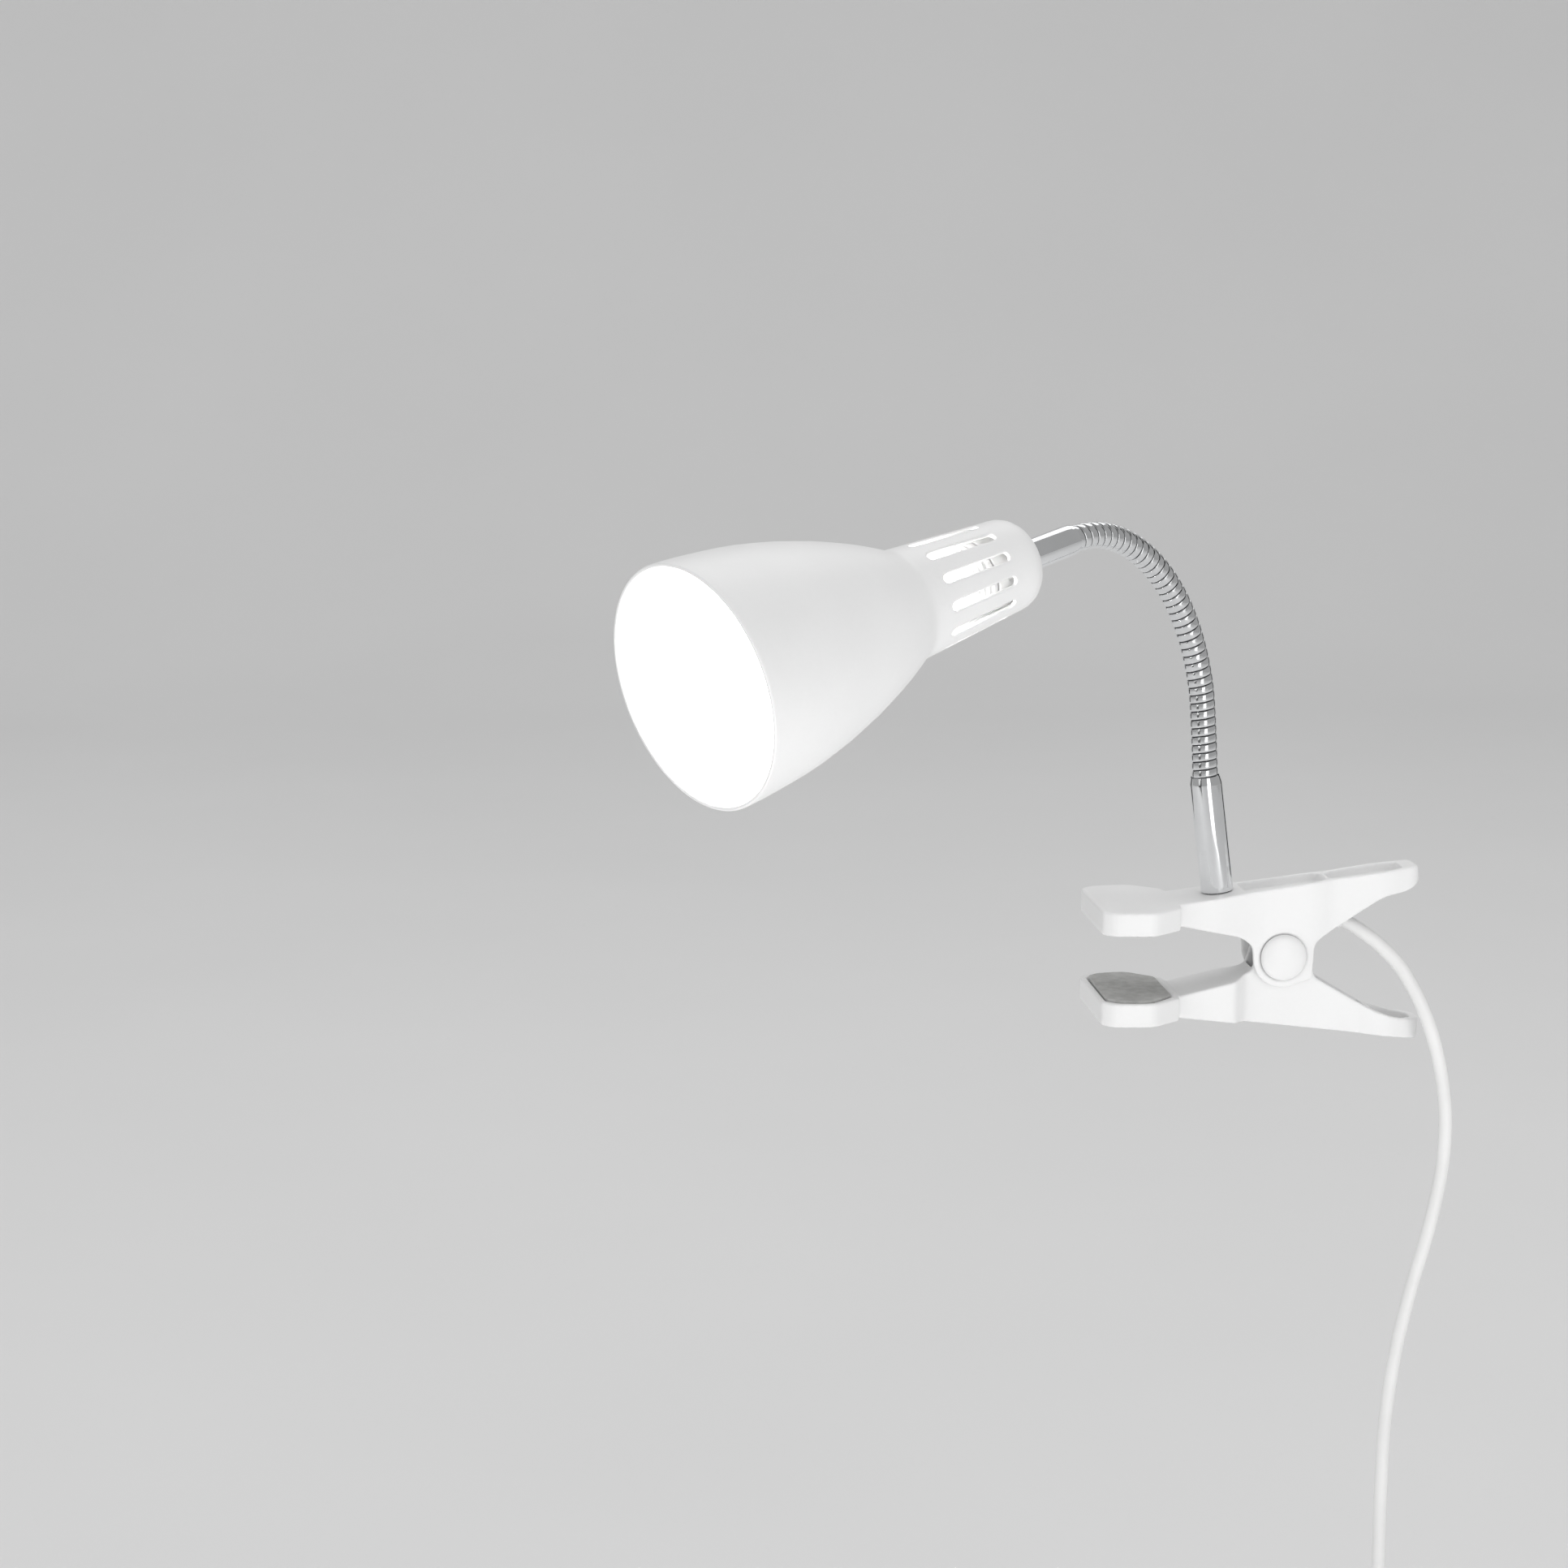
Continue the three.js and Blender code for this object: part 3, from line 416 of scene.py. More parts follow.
def softened(node, name, material, slot, body, voxel, passes):
    """A copy of a CAD node, its edges rounded as a mould leaves them; voxel is in millimetres."""
    source = frame["nodes"][node]
    work = bpy.data.objects.new("work", source.data.copy())
    bpy.context.scene.collection.objects.link(work)
    remesh = work.modifiers.new("remesh", "REMESH")
    remesh.mode = "VOXEL"
    remesh.voxel_size = voxel * MM
    remesh.adaptivity = 0
    smooth = work.modifiers.new("smooth", "SMOOTH")
    smooth.factor = 0.5
    smooth.iterations = passes
    ready = work.evaluated_get(bpy.context.evaluated_depsgraph_get())
    mesh = bpy.data.meshes.new_from_object(ready)
    bpy.data.objects.remove(work)
    mesh.name = name
    return finished(name, mesh, material, slot, body, node, crease=0)


# ---- cord ------------------------------------------------------------------------------------

# The routes are in millimetres.
HANGING = [
    (71.2, -0.65, 1.8), (74.7, -1.4, -0.3), (78.2, -2.6, -2.3), (81.7, -4.2, -4.7),
    (85.1, -5.8, -7.3), (88.2, -7.4, -10.3), (91.1, -8.9, -13.5), (93.6, -10.3, -17),
    (98.3, -12.4, -25.7),
    (102.3, -13.5, -35.3), (105.5, -14, -46.2), (107.8, -14, -57.8), (108.9, -14, -69.4),
    (108.4, -14, -84), (106.4, -14, -97), (103.5, -14.2, -110), (97.8, -15, -130.4),
    (92.8, -16.4, -152), (89.6, -18, -174), (88.3, -19.4, -198), (88, -20, -220),
    (88, -20, -239.7),
]
SWITCH_FOOT = (88, -20, -300.3)
THICK = 5.0                     # the cord's thickness
LYING = GROUND + THICK / 2      # the height of its middle when it lies on the floor
LANDING = 27                    # the radius of its bend on to the floor
COIL = (38, 12.5)
COIL_RADII = (32.5, 27.5, 22.5)
UNDER_COIL = 1.2                # the tie's thickness
COIL_LOW = LYING + UNDER_COIL
SHIFT_FROM = 0.8                # the share of a turn after which it moves to the next radius
TAIL = [
    (20.3, -20.6, -333.5), (8, -24.5, -333.5), (-6, -30, -333.5), (-20, -31, -333.5),
    (-30, -26, -332),
]


def landing_run():
    """From the switch down on to the floor."""
    top = LYING + LANDING
    points = [SWITCH_FOOT]
    for step in range(7):
        angle = math.pi / 2 * step / 6
        across = LANDING * (1 - math.cos(angle))
        points.append((SWITCH_FOOT[0] - across, SWITCH_FOOT[1], top - LANDING * math.sin(angle)))
    return points


def coil_run(per_turn=20):
    """Three turns inwards, then three outwards on top of them."""
    radii = COIL_RADII + COIL_RADII[::-1]
    last_low = len(COIL_RADII) - 1
    points = []
    for turn, radius in enumerate(radii):
        following = radii[turn + 1] if turn + 1 < len(radii) else radius
        for step in range(per_turn):
            share = step / per_turn
            shift = max(0.0, (share - SHIFT_FROM) / (1 - SHIFT_FROM))
            ease = shift * shift * (3 - 2 * shift)
            angle = -math.pi / 2 - 2 * math.pi * share
            reach = radius + (following - radius) * ease
            layer = (turn > last_low) + (ease if turn == last_low else 0)
            points.append((
                COIL[0] + reach * math.cos(angle), COIL[1] + reach * math.sin(angle),
                COIL_LOW + layer * THICK,
            ))
    return points


def cord(name, points, body, *nodes):
    """A cord as a smooth curve through its route's points."""
    data = bpy.data.curves.new(name, "CURVE")
    data.dimensions = "3D"
    data.bevel_depth = CORD / 2 - 0.1 * MM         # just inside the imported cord
    data.bevel_resolution = 5
    data.resolution_u = 8
    data.use_fill_caps = True
    spline = data.splines.new("BEZIER")
    spline.bezier_points.add(len(points) - 1)
    places = [Vector(point) * MM for point in points]
    for index, knot in enumerate(spline.bezier_points):
        before = places[max(index - 1, 0)]
        here = places[index]
        after = places[min(index + 1, len(places) - 1)]
        along = (after - before).normalized()
        knot.co = here
        knot.handle_left_type = knot.handle_right_type = "FREE"
        knot.handle_left = here - along * (here - before).length / 3
        knot.handle_right = here + along * (after - here).length / 3
    made = bpy.data.objects.new(name, data)
    bpy.context.scene.collection.objects.link(made)
    data.materials.append(sheath)
    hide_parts(*nodes)
    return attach(made, body)


upper_cord = cord("hanging_cord", HANGING, "clip", "cord_to_switch")
lower_cord = cord(
    "spare_cord", landing_run()[:-1] + coil_run() + TAIL, "clip",
    "cord_to_coil", "cord_coil", "cord_to_plug",
)


# ---- stem ------------------------------------------------------------------------------------

STEM = [
    (4.3, 0.3), (5.6, 0.3), (5.6, 38.2), (5.15, 40.2), (4.95, 40.8), (4.8, 40.5), (4.8, 9.5),
    (4.3, 9.5), (4.3, 0.3),
]
piece(
    "stem", *turned(in_mm(ring_profile(STEM, 0.35)), in_stem, segments=96), chrome, "chrome",
    "clip", "stem_tube",
)


# ---- gooseneck -------------------------------------------------------------------------------

BAND = 2.9 * MM                 # the wound strip's pitch
NECK_RADIUS = 4.5 * MM
IN_STEM = 6 * MM                # how far the strip reaches into the stem and the ferrule
IN_FERRULE = 5.2 * MM
AROUND = 40                     # corners round the neck
BEND_MARGIN = 1.7 * MM          # how far a piece's bend stays from its ends
# across one band: share of the pitch, and depth below the outermost surface
BAND_SHAPE = [
    (0.0, 0.5), (0.07, 0.5), (0.09, 0.16), (0.16, 0.05), (0.36, 0.0), (0.6, 0.0), (0.84, 0.06),
    (0.93, 0.14), (0.97, 0.34),
]
# The faces in these rows get the dark finish, painted shade for the gaps between the turns.
SHADED_GAP_ROWS = (0, 1, 8)            # the rows of faces that lie down in the gap
NECK_JOINTS = [
    "neck_sway_1", "neck_bend_1", "neck_bend_2", "neck_sway_2", "neck_bend_3", "neck_bend_4",
    "neck_sway_3", "neck_bend_5", "neck_bend_6", "neck_sway", "neck_bend",
]
NECK_BODIES = ["clip"] + [f"neck_{index:02d}" for index in range(1, 11)] + ["head"]


def neck_knots():
    """The corners of the neck's line: its start, its bends and its end."""
    bends = [joint_place(name) for name in NECK_JOINTS if "bend" in name]
    return [neck_start - foot_axis * IN_STEM] + bends + [neck_end + head_axis * IN_FERRULE]


def neck_line():
    """The neck's smooth line as closely spaced points."""
    corners = neck_knots()
    middles = [(a + b) / 2 for a, b in zip(corners, corners[1:])]
    middles[0], middles[-1] = corners[0], corners[-1]
    line = []
    for start, corner, end in zip(middles, corners[1:-1], middles[1:]):
        for step in range(60):
            share = step / 60
            line.append(curved(start, corner, end, share))
    line.append(middles[-1])
    return line


class Path:
    """A line that can be asked for its point and direction at a distance along it."""

    def __init__(self, line):
        self.line = line
        self.reach = [0.0]
        for a, b in zip(line, line[1:]):
            self.reach.append(self.reach[-1] + (b - a).length)
        self.length = self.reach[-1]

    def at(self, distance):
        distance = min(max(distance, 0.0), self.length - 1e-9)
        low = bisect_right(self.reach, distance) - 1
        share = (distance - self.reach[low]) / (self.reach[low + 1] - self.reach[low])
        return self.line[low].lerp(self.line[low + 1], share)

    def along(self, distance, step=0.4 * MM):
        return (self.at(distance + step) - self.at(distance - step)).normalized()

    def nearest(self, point):
        """The distance along the line at which it passes closest to a point."""
        best = min(range(len(self.line)), key=lambda index: (self.line[index] - point).length)
        return self.reach[best]


def gooseneck():
    """The wound strip, split half-way between joints into one piece round each joint."""
    path = Path(neck_line())
    places = [joint_place(name) for name in NECK_JOINTS]
    splits = [(a + b) / 2 for a, b in zip(places, places[1:])]
    cuts = [0.0] + [path.nearest(point) for point in splits] + [path.length]
    last = (int(path.length / BAND) - 1) * AROUND
    cells = [[] for _ in NECK_JOINTS]
    for step in range(last):
        for row in range(len(BAND_SHAPE)):
            distance = band_place(step, row)
            index = max(i for i, cut in enumerate(cuts[:-1]) if cut <= distance)
            cells[index].append((step, row))
    for index, owned in enumerate(cells):
        made = strip_piece(path, index, owned, last)
        NECK_BODIES[index]
        NECK_BODIES[index + 1]
        path.at(cuts[index] + BEND_MARGIN)
        path.at(cuts[index + 1] - BEND_MARGIN)
        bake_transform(made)


def strip_piece(path, index, cells, last):
    """One length of the strip, from the (step, row) cells that belong to it."""
    known, points, faces, face_rows = {}, [], [], []
    for step, row in cells:
        corners = [(step, row), (step + 1, row), after_row(step + 1, row), after_row(step, row)]
        if any(corner[0] > last for corner in corners):
            continue
        for corner in corners:
            if corner not in known:
                known[corner] = len(points)
                points.append(neck_point(path, *corner))
        faces.append([known[corner] for corner in corners])
        face_rows.append(row)
    nodes = [f"gooseneck_{index:02d}" if index else "gooseneck_foot"]
    if index == len(NECK_JOINTS) - 1:
        nodes.append("gooseneck_end")
    name = f"gooseneck_strip_{index + 1:02d}"
    made = piece(name, points, faces, neck_chrome, "chrome", None, *nodes, crease=60)
    # The second finish is painted shade: it darkens the faces that lie in the gaps between turns.
    made.data.materials.append(neck_gap_painted_shade)
    for polygon, row in zip(made.data.polygons, face_rows):
        polygon.material_index = int(row in SHADED_GAP_ROWS)
    return made


def after_row(step, row):
    """The corner one row further across the band, on the next turn after the last row."""
    if row + 1 < len(BAND_SHAPE):
        return step, row + 1
    return step + AROUND, 0


def band_place(step, row):
    """The distance along the neck's line of a corner of the strip."""
    return (step / AROUND + BAND_SHAPE[row][0]) * BAND


def neck_point(path, step, row):
    """A corner of the strip, on its face or down in the gap."""
    distance = band_place(step, row)
    centre, along = path.at(distance), path.along(distance)
    side = (bend_axis - along * bend_axis.dot(along)).normalized()
    other = along.cross(side)
    angle = 2 * math.pi * step / AROUND
    radius = NECK_RADIUS - BAND_SHAPE[row][1] * MM
    return centre + (side * math.cos(angle) + other * math.sin(angle)) * radius


gooseneck()


# ---- head ------------------------------------------------------------------------------------

def ferrule():
    """The plain plated sleeve between the gooseneck and the shade, narrowed where it grips."""
    start = -FERRULE / MM
    corners = [
        (4.8, start), (4.95, start), (5.15, start + 1.4), (5.2, start + 3), (5.2, -0.3),
        (4.3, -0.3), (4.3, start + 6), (4.8, start + 6), (4.8, start),
    ]
    points, faces = turned(in_mm(ring_profile(corners, 0.3)), in_head, segments=96)
    piece("ferrule", points, faces, chrome, "chrome", "head", "head_tube")


ferrule()

# The shade's outside, as (distance from its rim, radius) in millimetres.
BELL = [
    (0, 40), (3, 39.9), (7, 39.65), (11, 39.3), (17, 38.7), (24, 37.9), (30, 36.95), (36, 35.7),
    (43, 34.1), (50, 32.1), (56, 30.3), (62, 28.2), (68, 25.95), (73, 23.9), (78, 21.6),
    (81.5, 19.9),
]
CORNER = [(82.8, 19.25), (84, 18.85), (85.6, 18.6)]
NECK = [(88.2, 18.45), (90, 18.3)]
SLOTTED = [(105, 17.25), (122.3, 15.95)]
DOME = [
    (125, 15.75), (128, 15.6), (130.6, 15.3), (132.8, 14.5), (134.6, 13.2), (136, 11.6),
    (137, 9.8), (137.5, 8),
]
OUTLINE = BELL + CORNER + NECK + SLOTTED + DOME
SHADE_WALL = 1.4
LIP = 0.9                       # how far from the rim the lip's rounding starts
LIP_ROUND = ((0.45, 0.02), (0.16, 0.16), (0.0, 0.45), (0.0, 0.95), (0.16, 1.24), (0.45, 1.38))
NIPPLE_HOLE = 4.3
SLOTS = 12
PER_SLOT = 10                   # faces across one slot's sector
SEGMENTS = SLOTS * PER_SLOT
SLOT_ROWS = 14
SLOT_ZONE = (90.0, 122.3)       # the sectors' ends, and the slots' own ends between them
SLOT_SPAN = (91.5, 120.8)
SLOT_WIDTH = 3.3
SLOT_EDGE = 0.18                # the depth of the slots' rounded edges
SLOT_TURN = math.radians(-5.7) - math.pi / 2
SECTOR = math.pi / SLOTS        # half the angle from one slot to the next


def shade_radius(distance):
    """The outside radius at a distance from the rim."""
    for (a, first), (b, second) in zip(OUTLINE, OUTLINE[1:]):
        if a <= distance <= b:
            return first + (second - first) * (distance - a) / (b - a)
    return OUTLINE[-1][1]


def shade_point(distance, angle, inside, depth=0.0):
    """A point on the shade's outer or inner face; depth moves it part of the way through."""
    radius = shade_radius(distance) - (SHADE_WALL if inside else 0.0) - depth
    height = SHADE_LENGTH - distance * MM
    return in_head @ Vector((radius * MM * math.cos(angle), radius * MM * math.sin(angle), height))


def shade():
    """The bell, its slotted neck and its domed back, outside and inside."""
    points, faces, known = [], [], {}

    def corner(distance, angle, inside, depth=0.0):
        turn = round(math.degrees(angle) % 360, 3) % 360
        key = (round(distance, 4), turn, inside, round(depth, 3))
        if key not in known:
            known[key] = len(points)
            points.append(shade_point(distance, angle, inside, depth))
        return known[key]

    def ring(distance, inside, depth=0.0):
        angles = [SLOT_TURN - SECTOR + 2 * math.pi * step / SEGMENTS for step in range(SEGMENTS)]
        return [corner(distance, angle, inside, depth) for angle in angles]

    for inside in (False, True):
        bell = [LIP] + [at for at, _ in BELL + CORNER + NECK if at > LIP + 0.5]
        stitch(faces, [ring(at, inside) for at in bell])
        dome = [SLOT_ZONE[1]] + [at for at, _ in DOME if not (inside and at > 136.1)]
        stitch(faces, [ring(at, inside) for at in dome])
        for index in range(SLOTS):
            slot_skin(corner, faces, index, inside)
    for index in range(SLOTS):
        slot_wall(corner, faces, index)
    lip = [ring(distance, False, depth) for distance, depth in LIP_ROUND]
    stitch(faces, [ring(LIP, False)] + lip + [ring(LIP, True)])
    hole = [nipple_hole(points, height) for height in (0.0, SHADE_WALL)]
    stitch(faces, [ring(137.5, False)] + hole + [ring(136, True)])
    piece("shade", points, faces, shade_white, "shade", "head", "shade", crease=50)


def nipple_hole(points, height):
    """Adds the edge of the hole in the shade's flat back, at a height inside it."""
    first = len(points)
    for step in range(SEGMENTS):
        angle = SLOT_TURN - SECTOR + 2 * math.pi * step / SEGMENTS
        across, along = NIPPLE_HOLE * math.cos(angle), NIPPLE_HOLE * math.sin(angle)
        points.append(in_head @ (Vector((across, along, height)) * MM))
    return list(range(first, len(points)))


def slot_loops(index):
    """The sector's edge and the slot's edge, as matching lists of (distance, angle)."""
    middle = SLOT_TURN + 2 * SECTOR * index
    low, high = SLOT_ZONE
    across = [2 * SECTOR * step / PER_SLOT for step in range(PER_SLOT)]
    along = [(high - low) * step / SLOT_ROWS for step in range(SLOT_ROWS)]
    outer = [(low, middle - SECTOR + turn) for turn in across]
    outer += [(low + rise, middle + SECTOR) for rise in along]
    outer += [(high, middle + SECTOR - turn) for turn in across]
    outer += [(high - rise, middle - SECTOR) for rise in along]
    return outer, [slot_edge(at, angle - middle, middle) for at, angle in outer]


def slot_edge(at, turn, middle):
    """The place on the slot's round-ended outline that faces a place on the sector's edge."""
    half = SLOT_WIDTH / 2
    low, high = SLOT_ZONE
    near, far = SLOT_SPAN[0] + half, SLOT_SPAN[1] - half
    edge_near, edge_far = at <= low + 1e-6, at >= high - 1e-6
    if edge_near or edge_far:
        swing = turn / SECTOR * math.pi / 2
        away = -math.cos(swing) if edge_near else math.cos(swing)
        centre = near if edge_near else far
        return centre + half * away, middle + half * math.sin(swing) / shade_radius(centre)
    centre = near + (at - low) * (far - near) / (high - low)
    side = 1 if turn > 0 else -1
    return centre, middle + side * half / shade_radius(centre)


def slot_skin(corner, faces, index, inside):
    """The shade's face round one slot, easing from the sector's edge to the slot's edge."""
    outer, inner = slot_loops(index)
    loops = []
    for share, depth in ((0.0, 0.0), (0.35, 0.0), (0.7, 0.0), (0.9, 0.0), (1.0, SLOT_EDGE)):
        sunk = -depth if inside else depth
        loops.append([
            corner(a + (c - a) * share, b + (d - b) * share, inside, sunk)
            for (a, b), (c, d) in zip(outer, inner)
        ])
    stitch(faces, loops)


def slot_wall(corner, faces, index):
    """The slot's wall, from the outer face to the inner one."""
    _, inner = slot_loops(index)
    loops = [[corner(a, b, False, SLOT_EDGE) for a, b in inner]]
    for depth in (0.45, 0.95):
        loops.append([corner(a, b, False, depth) for a, b in slimmer(inner, index)])
    loops.append([corner(a, b, True, -SLOT_EDGE) for a, b in inner])
    stitch(faces, loops)


def slimmer(loop, index):
    """The slot's outline drawn in a little, as its rounded edge does."""
    middle = SLOT_TURN + 2 * SECTOR * index
    centre = sum(SLOT_SPAN) / 2
    return [(centre + (at - centre) * 0.988, middle + (angle - middle) * 0.9) for at, angle in loop]


def stitch(faces, loops):
    """Joins each loop of corners to the next one with a band of faces."""
    for first, second in zip(loops, loops[1:]):
        count = len(first)
        for step in range(count):
            after = (step + 1) % count
            corners = (first[step], first[after], second[after], second[step])
            if len(set(corners)) > 2:
                faces.append(tuple(dict.fromkeys(corners)))


shade()


# ---- the rest of the head --------------------------------------------------------------------

def holder():
    """The lampholder: its cap, and its ribbed body."""
    corners = [
        (4.3, 7.6), (8.6, 7.6), (11, 8.8), (12.3, 11.2), (12.3, 21), (10.7, 21), (10.7, 11.8),
        (9.6, 9.6), (4.3, 9.6), (4.3, 7.6),
    ]
    points, faces = turned(in_mm(ring_profile(corners, 0.5)), in_head)
    piece(
        "lampholder_cap_moulding", points, faces, holder_white, "holder", "head", "lampholder_cap",
    )
    outer = [(0, 21.3), (9.9, 21.3), (12.3, 21.6)]
    for rib in range(6):
        at = 23.5 + rib * 2.4
        outer += [(12.3, at), (12.0, at + 0.5), (12.0, at + 1.1), (12.3, at + 1.6)]
    outer += [(12.3, 40), (10.9, 40.6), (10.9, 47), (7.9, 47), (7.9, 27), (0, 27)]
    body = outer[:1] + rounded(outer[1:-1], 0.25, 3) + outer[-1:]
    points, faces = turned(in_mm(body), in_head)
    piece(
        "lampholder_body_moulding", points, faces, holder_white, "holder", "head",
        "lampholder_body",
    )


GLOBE_RADIUS = 22.5
GLOBE_CENTRE = 81               # its height above the shade's back
THREAD_PITCH = 2.9


def bulb():
    """The bulb's globe, running into its neck, and its rolled screw cap."""
    globe = [(0, 39.0), (6.1, 39.0), (6.1, 46.0), (6.4, 49.0), (7.4, 53.2), (9.4, 57.5)]
    for step in range(14):
        angle = math.radians(-57 + 147 * step / 14)
        height = GLOBE_CENTRE + GLOBE_RADIUS * math.sin(angle)
        globe.append((GLOBE_RADIUS * math.cos(angle), height))
    globe.append((0, GLOBE_CENTRE + GLOBE_RADIUS))
    points, faces = turned(in_mm(globe), in_head)
    piece("bulb_globe", points, faces, bulb_light, "glass", "bulb", "bulb_glass")
    thread = [(6.05, 32.2), (6.4, 32.2)]
    for turn in range(5):
        for step in range(6):
            share = step / 6
            height = 33.0 + (turn + share) * THREAD_PITCH
            thread.append((6.66 - 0.24 * math.cos(2 * math.pi * share), height))
    thread += [(6.8, 48.6), (6.8, 49), (6.4, 49), (6.05, 32.2)]
    points, faces = turned(in_mm(thread), in_head)
    piece("bulb_screw_cap", points, faces, steel, "steel", "bulb", "bulb_cap")


holder()
bulb()


# ---- clip ------------------------------------------------------------------------------------

softened("upper_jaw", "upper_jaw_moulding", clip_white, "white", "clip", voxel=0.42, passes=9)
softened("lower_jaw", "lower_jaw_moulding", clip_white, "white", "lower_jaw", voxel=0.45, passes=9)
softened("upper_jaw_liner", "upper_liner_pad", liner_finish, "liner", "clip", voxel=0.4, passes=4)
softened(
    "lower_jaw_liner", "lower_liner_pad", liner_finish, "liner", "lower_jaw", voxel=0.4, passes=4,
)


PIVOT = (51.5, 0, -11)
CAP_SEAT = 8.8                  # the cap's distance from the clip's middle


def pivot_cap(side, node):
    """The domed cap over the end of the pivot pin."""
    seat = CAP_SEAT
    profile = [(0, seat), (7.5, seat), (7.9, seat + 0.25), (8.0, seat + 0.7), (7.9, seat + 1.05)]
    for step in range(1, 13):
        angle = math.pi / 2 * step / 12
        profile.append((7.75 * math.cos(angle), seat + 1.15 + 2.15 * math.sin(angle)))
    profile[-1] = (0, seat + 3.3)
    turn = Matrix.Rotation(-side * math.pi / 2, 4, "X")
    place = Matrix.Translation(Vector(PIVOT) * MM) @ turn
    points, faces = turned(in_mm(profile), place, segments=96)
    piece(node + "_dome", points, faces, clip_white, "white", "clip", node)


pivot_cap(-1, "pivot_cap_far")
pivot_cap(1, "pivot_cap_near")


# ---- switch and plug -------------------------------------------------------------------------

softened("switch_front", "switch_front_shell", clip_white, "white", "clip", voxel=0.4, passes=5)
softened("switch_back", "switch_back_shell", clip_white, "white", "clip", voxel=0.4, passes=5)
softened("switch_rocker", "switch_rocker_key", clip_white, "white", "rocker", voxel=0.3, passes=4)
softened("plug_body", "plug_moulding", clip_white, "white", "clip", voxel=0.4, passes=14)
softened("cord_grip", "cord_grip_strap", clip_white, "white", "clip", voxel=0.3, passes=3)
softened("coil_tie", "coil_tie_strap", clip_white, "white", "clip", voxel=0.2, passes=2)
softened("cord_sleeve", "cord_sleeve_moulding", clip_white, "white", "clip", voxel=0.3, passes=3)

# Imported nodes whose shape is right, and what they are made of.
PLAIN = {
    "pivot_pin": steel, "clip_spring": steel, "stem_nipple": steel, "stem_washer": steel,
    "stem_nut": steel, "head_nipple": steel, "head_washer": steel, "head_nut": steel,
    "cord_grip_screw_1": steel, "cord_grip_screw_2": steel, "switch_screw_1": steel,
    "switch_screw_2": steel, "plug_pin_1": steel, "plug_pin_2": steel, "bulb_contact": steel,
    "screw_shell": brass, "centre_contact": brass, "bulb_insulator": black_glaze,
    "lead_live": brown_lead, "lead_neutral": blue_lead, "cord_inner": sheath,
}
for node, material in PLAIN.items():
    part = frame["nodes"][node]
    part.data.materials.clear()
    part.data.materials.append(material)
    part.data.shade_smooth()
    part.data.set_sharp_from_angle(angle=math.radians(30))

on_upper = [
    bpy.data.objects[name]
    for name in ("switch_front_shell", "switch_back_shell", "switch_rocker_key")
] + [frame["nodes"][name] for name in ("switch_screw_1", "switch_screw_2")]
on_lower = [bpy.data.objects[name] for name in ("coil_tie_strap", "plug_moulding")]
on_lower += [frame["nodes"][name] for name in ("plug_pin_1", "plug_pin_2")]
Vector(HANGING[0]) * MM


# ---- studio ----------------------------------------------------------------------------------

def studio():
    """A pale floor that sweeps up behind the lamp."""
    front, back, sweep, top, half_width = -12.0, 2.6, 1.2, 4.0, 6.0
    line = [(front, 0.0), (back, 0.0)]
    for step in range(1, 13):
        angle = math.pi / 2 * step / 12
        line.append((back + sweep * math.sin(angle), sweep * (1 - math.cos(angle))))
    line.append((back + sweep, top))
    points, faces = [], []
    for across in (-half_width, half_width):
        points += [(across, y, GROUND * MM + z) for y, z in line]
    count = len(line)
    for step in range(count - 1):
        faces.append((step, step + 1, count + step + 1, count + step))
    mesh = bpy.data.meshes.new("studio_floor")
    mesh.from_pydata(points, [], faces)
    mesh.shade_smooth()
    floor = bpy.data.objects.new("studio_floor", mesh)
    bpy.context.scene.collection.objects.link(floor)
    paper = Finish("studio_paper")
    tone = paper.spread(paper.noise(3, 3), 0.3, 0.7, 0, 1)
    mesh.materials.append(paper.surface(
        Base_Color=paper.blend(tone, grey(0.765), grey(0.78)), Roughness=0.9,
    ))


def flag(name, place, width, height, level):
    """A card that only reflections show, so that the plating has bands with clear edges."""
    half = Vector((width / 2, 0, 0)), Vector((0, 0, height / 2))
    corners = [sx * half[0] + sz * half[1] for sx, sz in ((-1, -1), (1, -1), (1, 1), (-1, 1))]
    mesh = bpy.data.meshes.new(name)
    mesh.from_pydata([tuple(corner) for corner in corners], [], [(0, 1, 2, 3)])
    card = bpy.data.objects.new(name, mesh)
    bpy.context.scene.collection.objects.link(card)
    card.location = place
    away = (Vector(place) - Vector((0, 0, 0.1))).normalized()
    card.rotation_euler = away.to_track_quat("Y", "Z").to_euler()
    paint = Finish(name)
    tone = paint.noise(4)
    mesh.materials.append(paint.surface(
        Base_Color=paint.blend(tone, grey(0.0), grey(0.01)), Roughness=1.0,
        Emission_Color=grey(1.0), Emission_Strength=level,
    ))
    card.visible_camera = card.visible_diffuse = card.visible_shadow = False


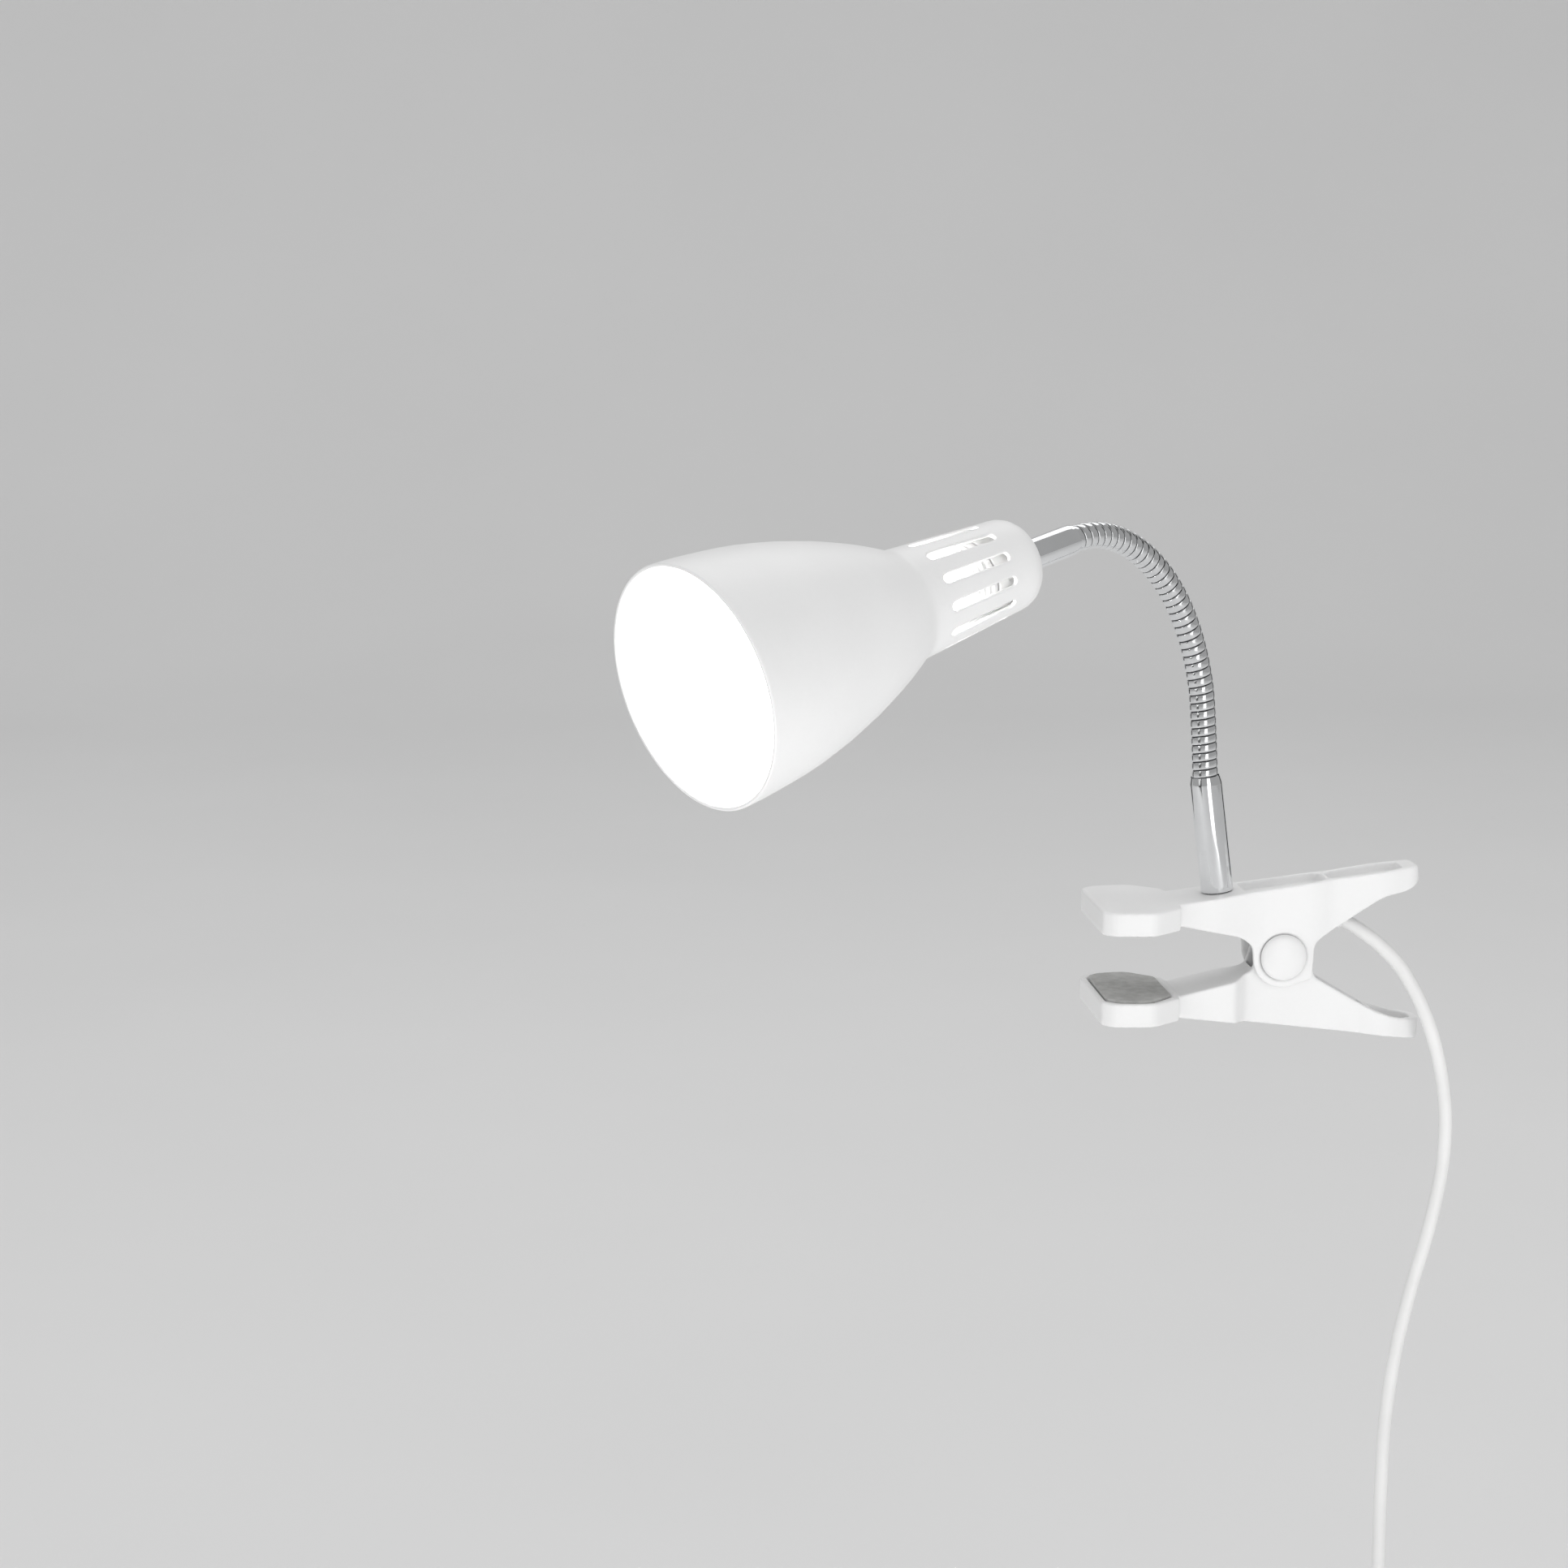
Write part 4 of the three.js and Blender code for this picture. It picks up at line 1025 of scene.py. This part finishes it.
def soft_light(name, place, target, width, height, power):
    """An area light that lights the lamp but isn't mirrored in it."""
    data = bpy.data.lights.new(name, "AREA")
    data.shape = "RECTANGLE"
    data.size, data.size_y = width, height
    data.energy = power
    lamp = bpy.data.objects.new(name, data)
    bpy.context.scene.collection.objects.link(lamp)
    lamp.location = place
    lamp.visible_glossy = False
    lamp.rotation_euler = (Vector(target) - Vector(place)).to_track_quat("-Z", "Y").to_euler()


def surroundings():
    """The room's even light, dimmer where it is mirrored, so that the cards stand out."""
    world = bpy.data.worlds.new("room")
    bpy.context.scene.world = world
    world.use_nodes = True
    room = Nodes(world.node_tree)
    mirrored = room.node("ShaderNodeLightPath")["Is Glossy Ray"]
    levels = {"Value": mirrored, "To Min": 0.62, "To Max": 0.36}
    level = room.node("ShaderNodeMapRange", None, levels)["Result"]
    air = room.node("ShaderNodeBackground", None, {"Color": grey(1.0), "Strength": level})
    room.node("ShaderNodeOutputWorld", None, {"Surface": air["Background"]})


# name, place, what it faces, width, height, power
LIGHTS = [
    ("overhead", (0.2, 0.6, 1.9), (0, 0.5, -0.3), 2.4, 1.8, 13),
    ("window", (0.62, -1.3, 0.3), (0, 0, 0.05), 0.3, 1.5, 3.4),
    ("front_left", (-1.5, -0.9, 0.3), (-0.05, 0, 0), 0.5, 1.0, 3.6),
    ("bounce", (-0.1, -0.62, -0.33), (-0.1, -0.61, 1.0), 1.3, 0.6, 4.6),
]
# name, place, width, height, brightness
CARDS = [
    ("dark_card_left", (-0.8, 0.95, 0.1), 0.34, 1.6, 0.02),
    ("dark_card_right", (0.95, 0.65, 0.1), 0.3, 1.6, 0.02),
    ("dark_card_front", (-1.05, -0.8, 0.1), 0.5, 1.6, 0.08),
    ("bright_card", (0.26, -1.4, 0.1), 0.6, 1.6, 1.7),
    ("dark_card_over", (-0.15, -0.12, 1.2), 1.3, 0.62, 0.03),
    ("bright_card_over", (-0.1, 0.85, 1.25), 1.8, 0.9, 1.3),
]

studio()
surroundings()
for light in LIGHTS:
    soft_light(*light)
for card in CARDS:
    flag(*card)
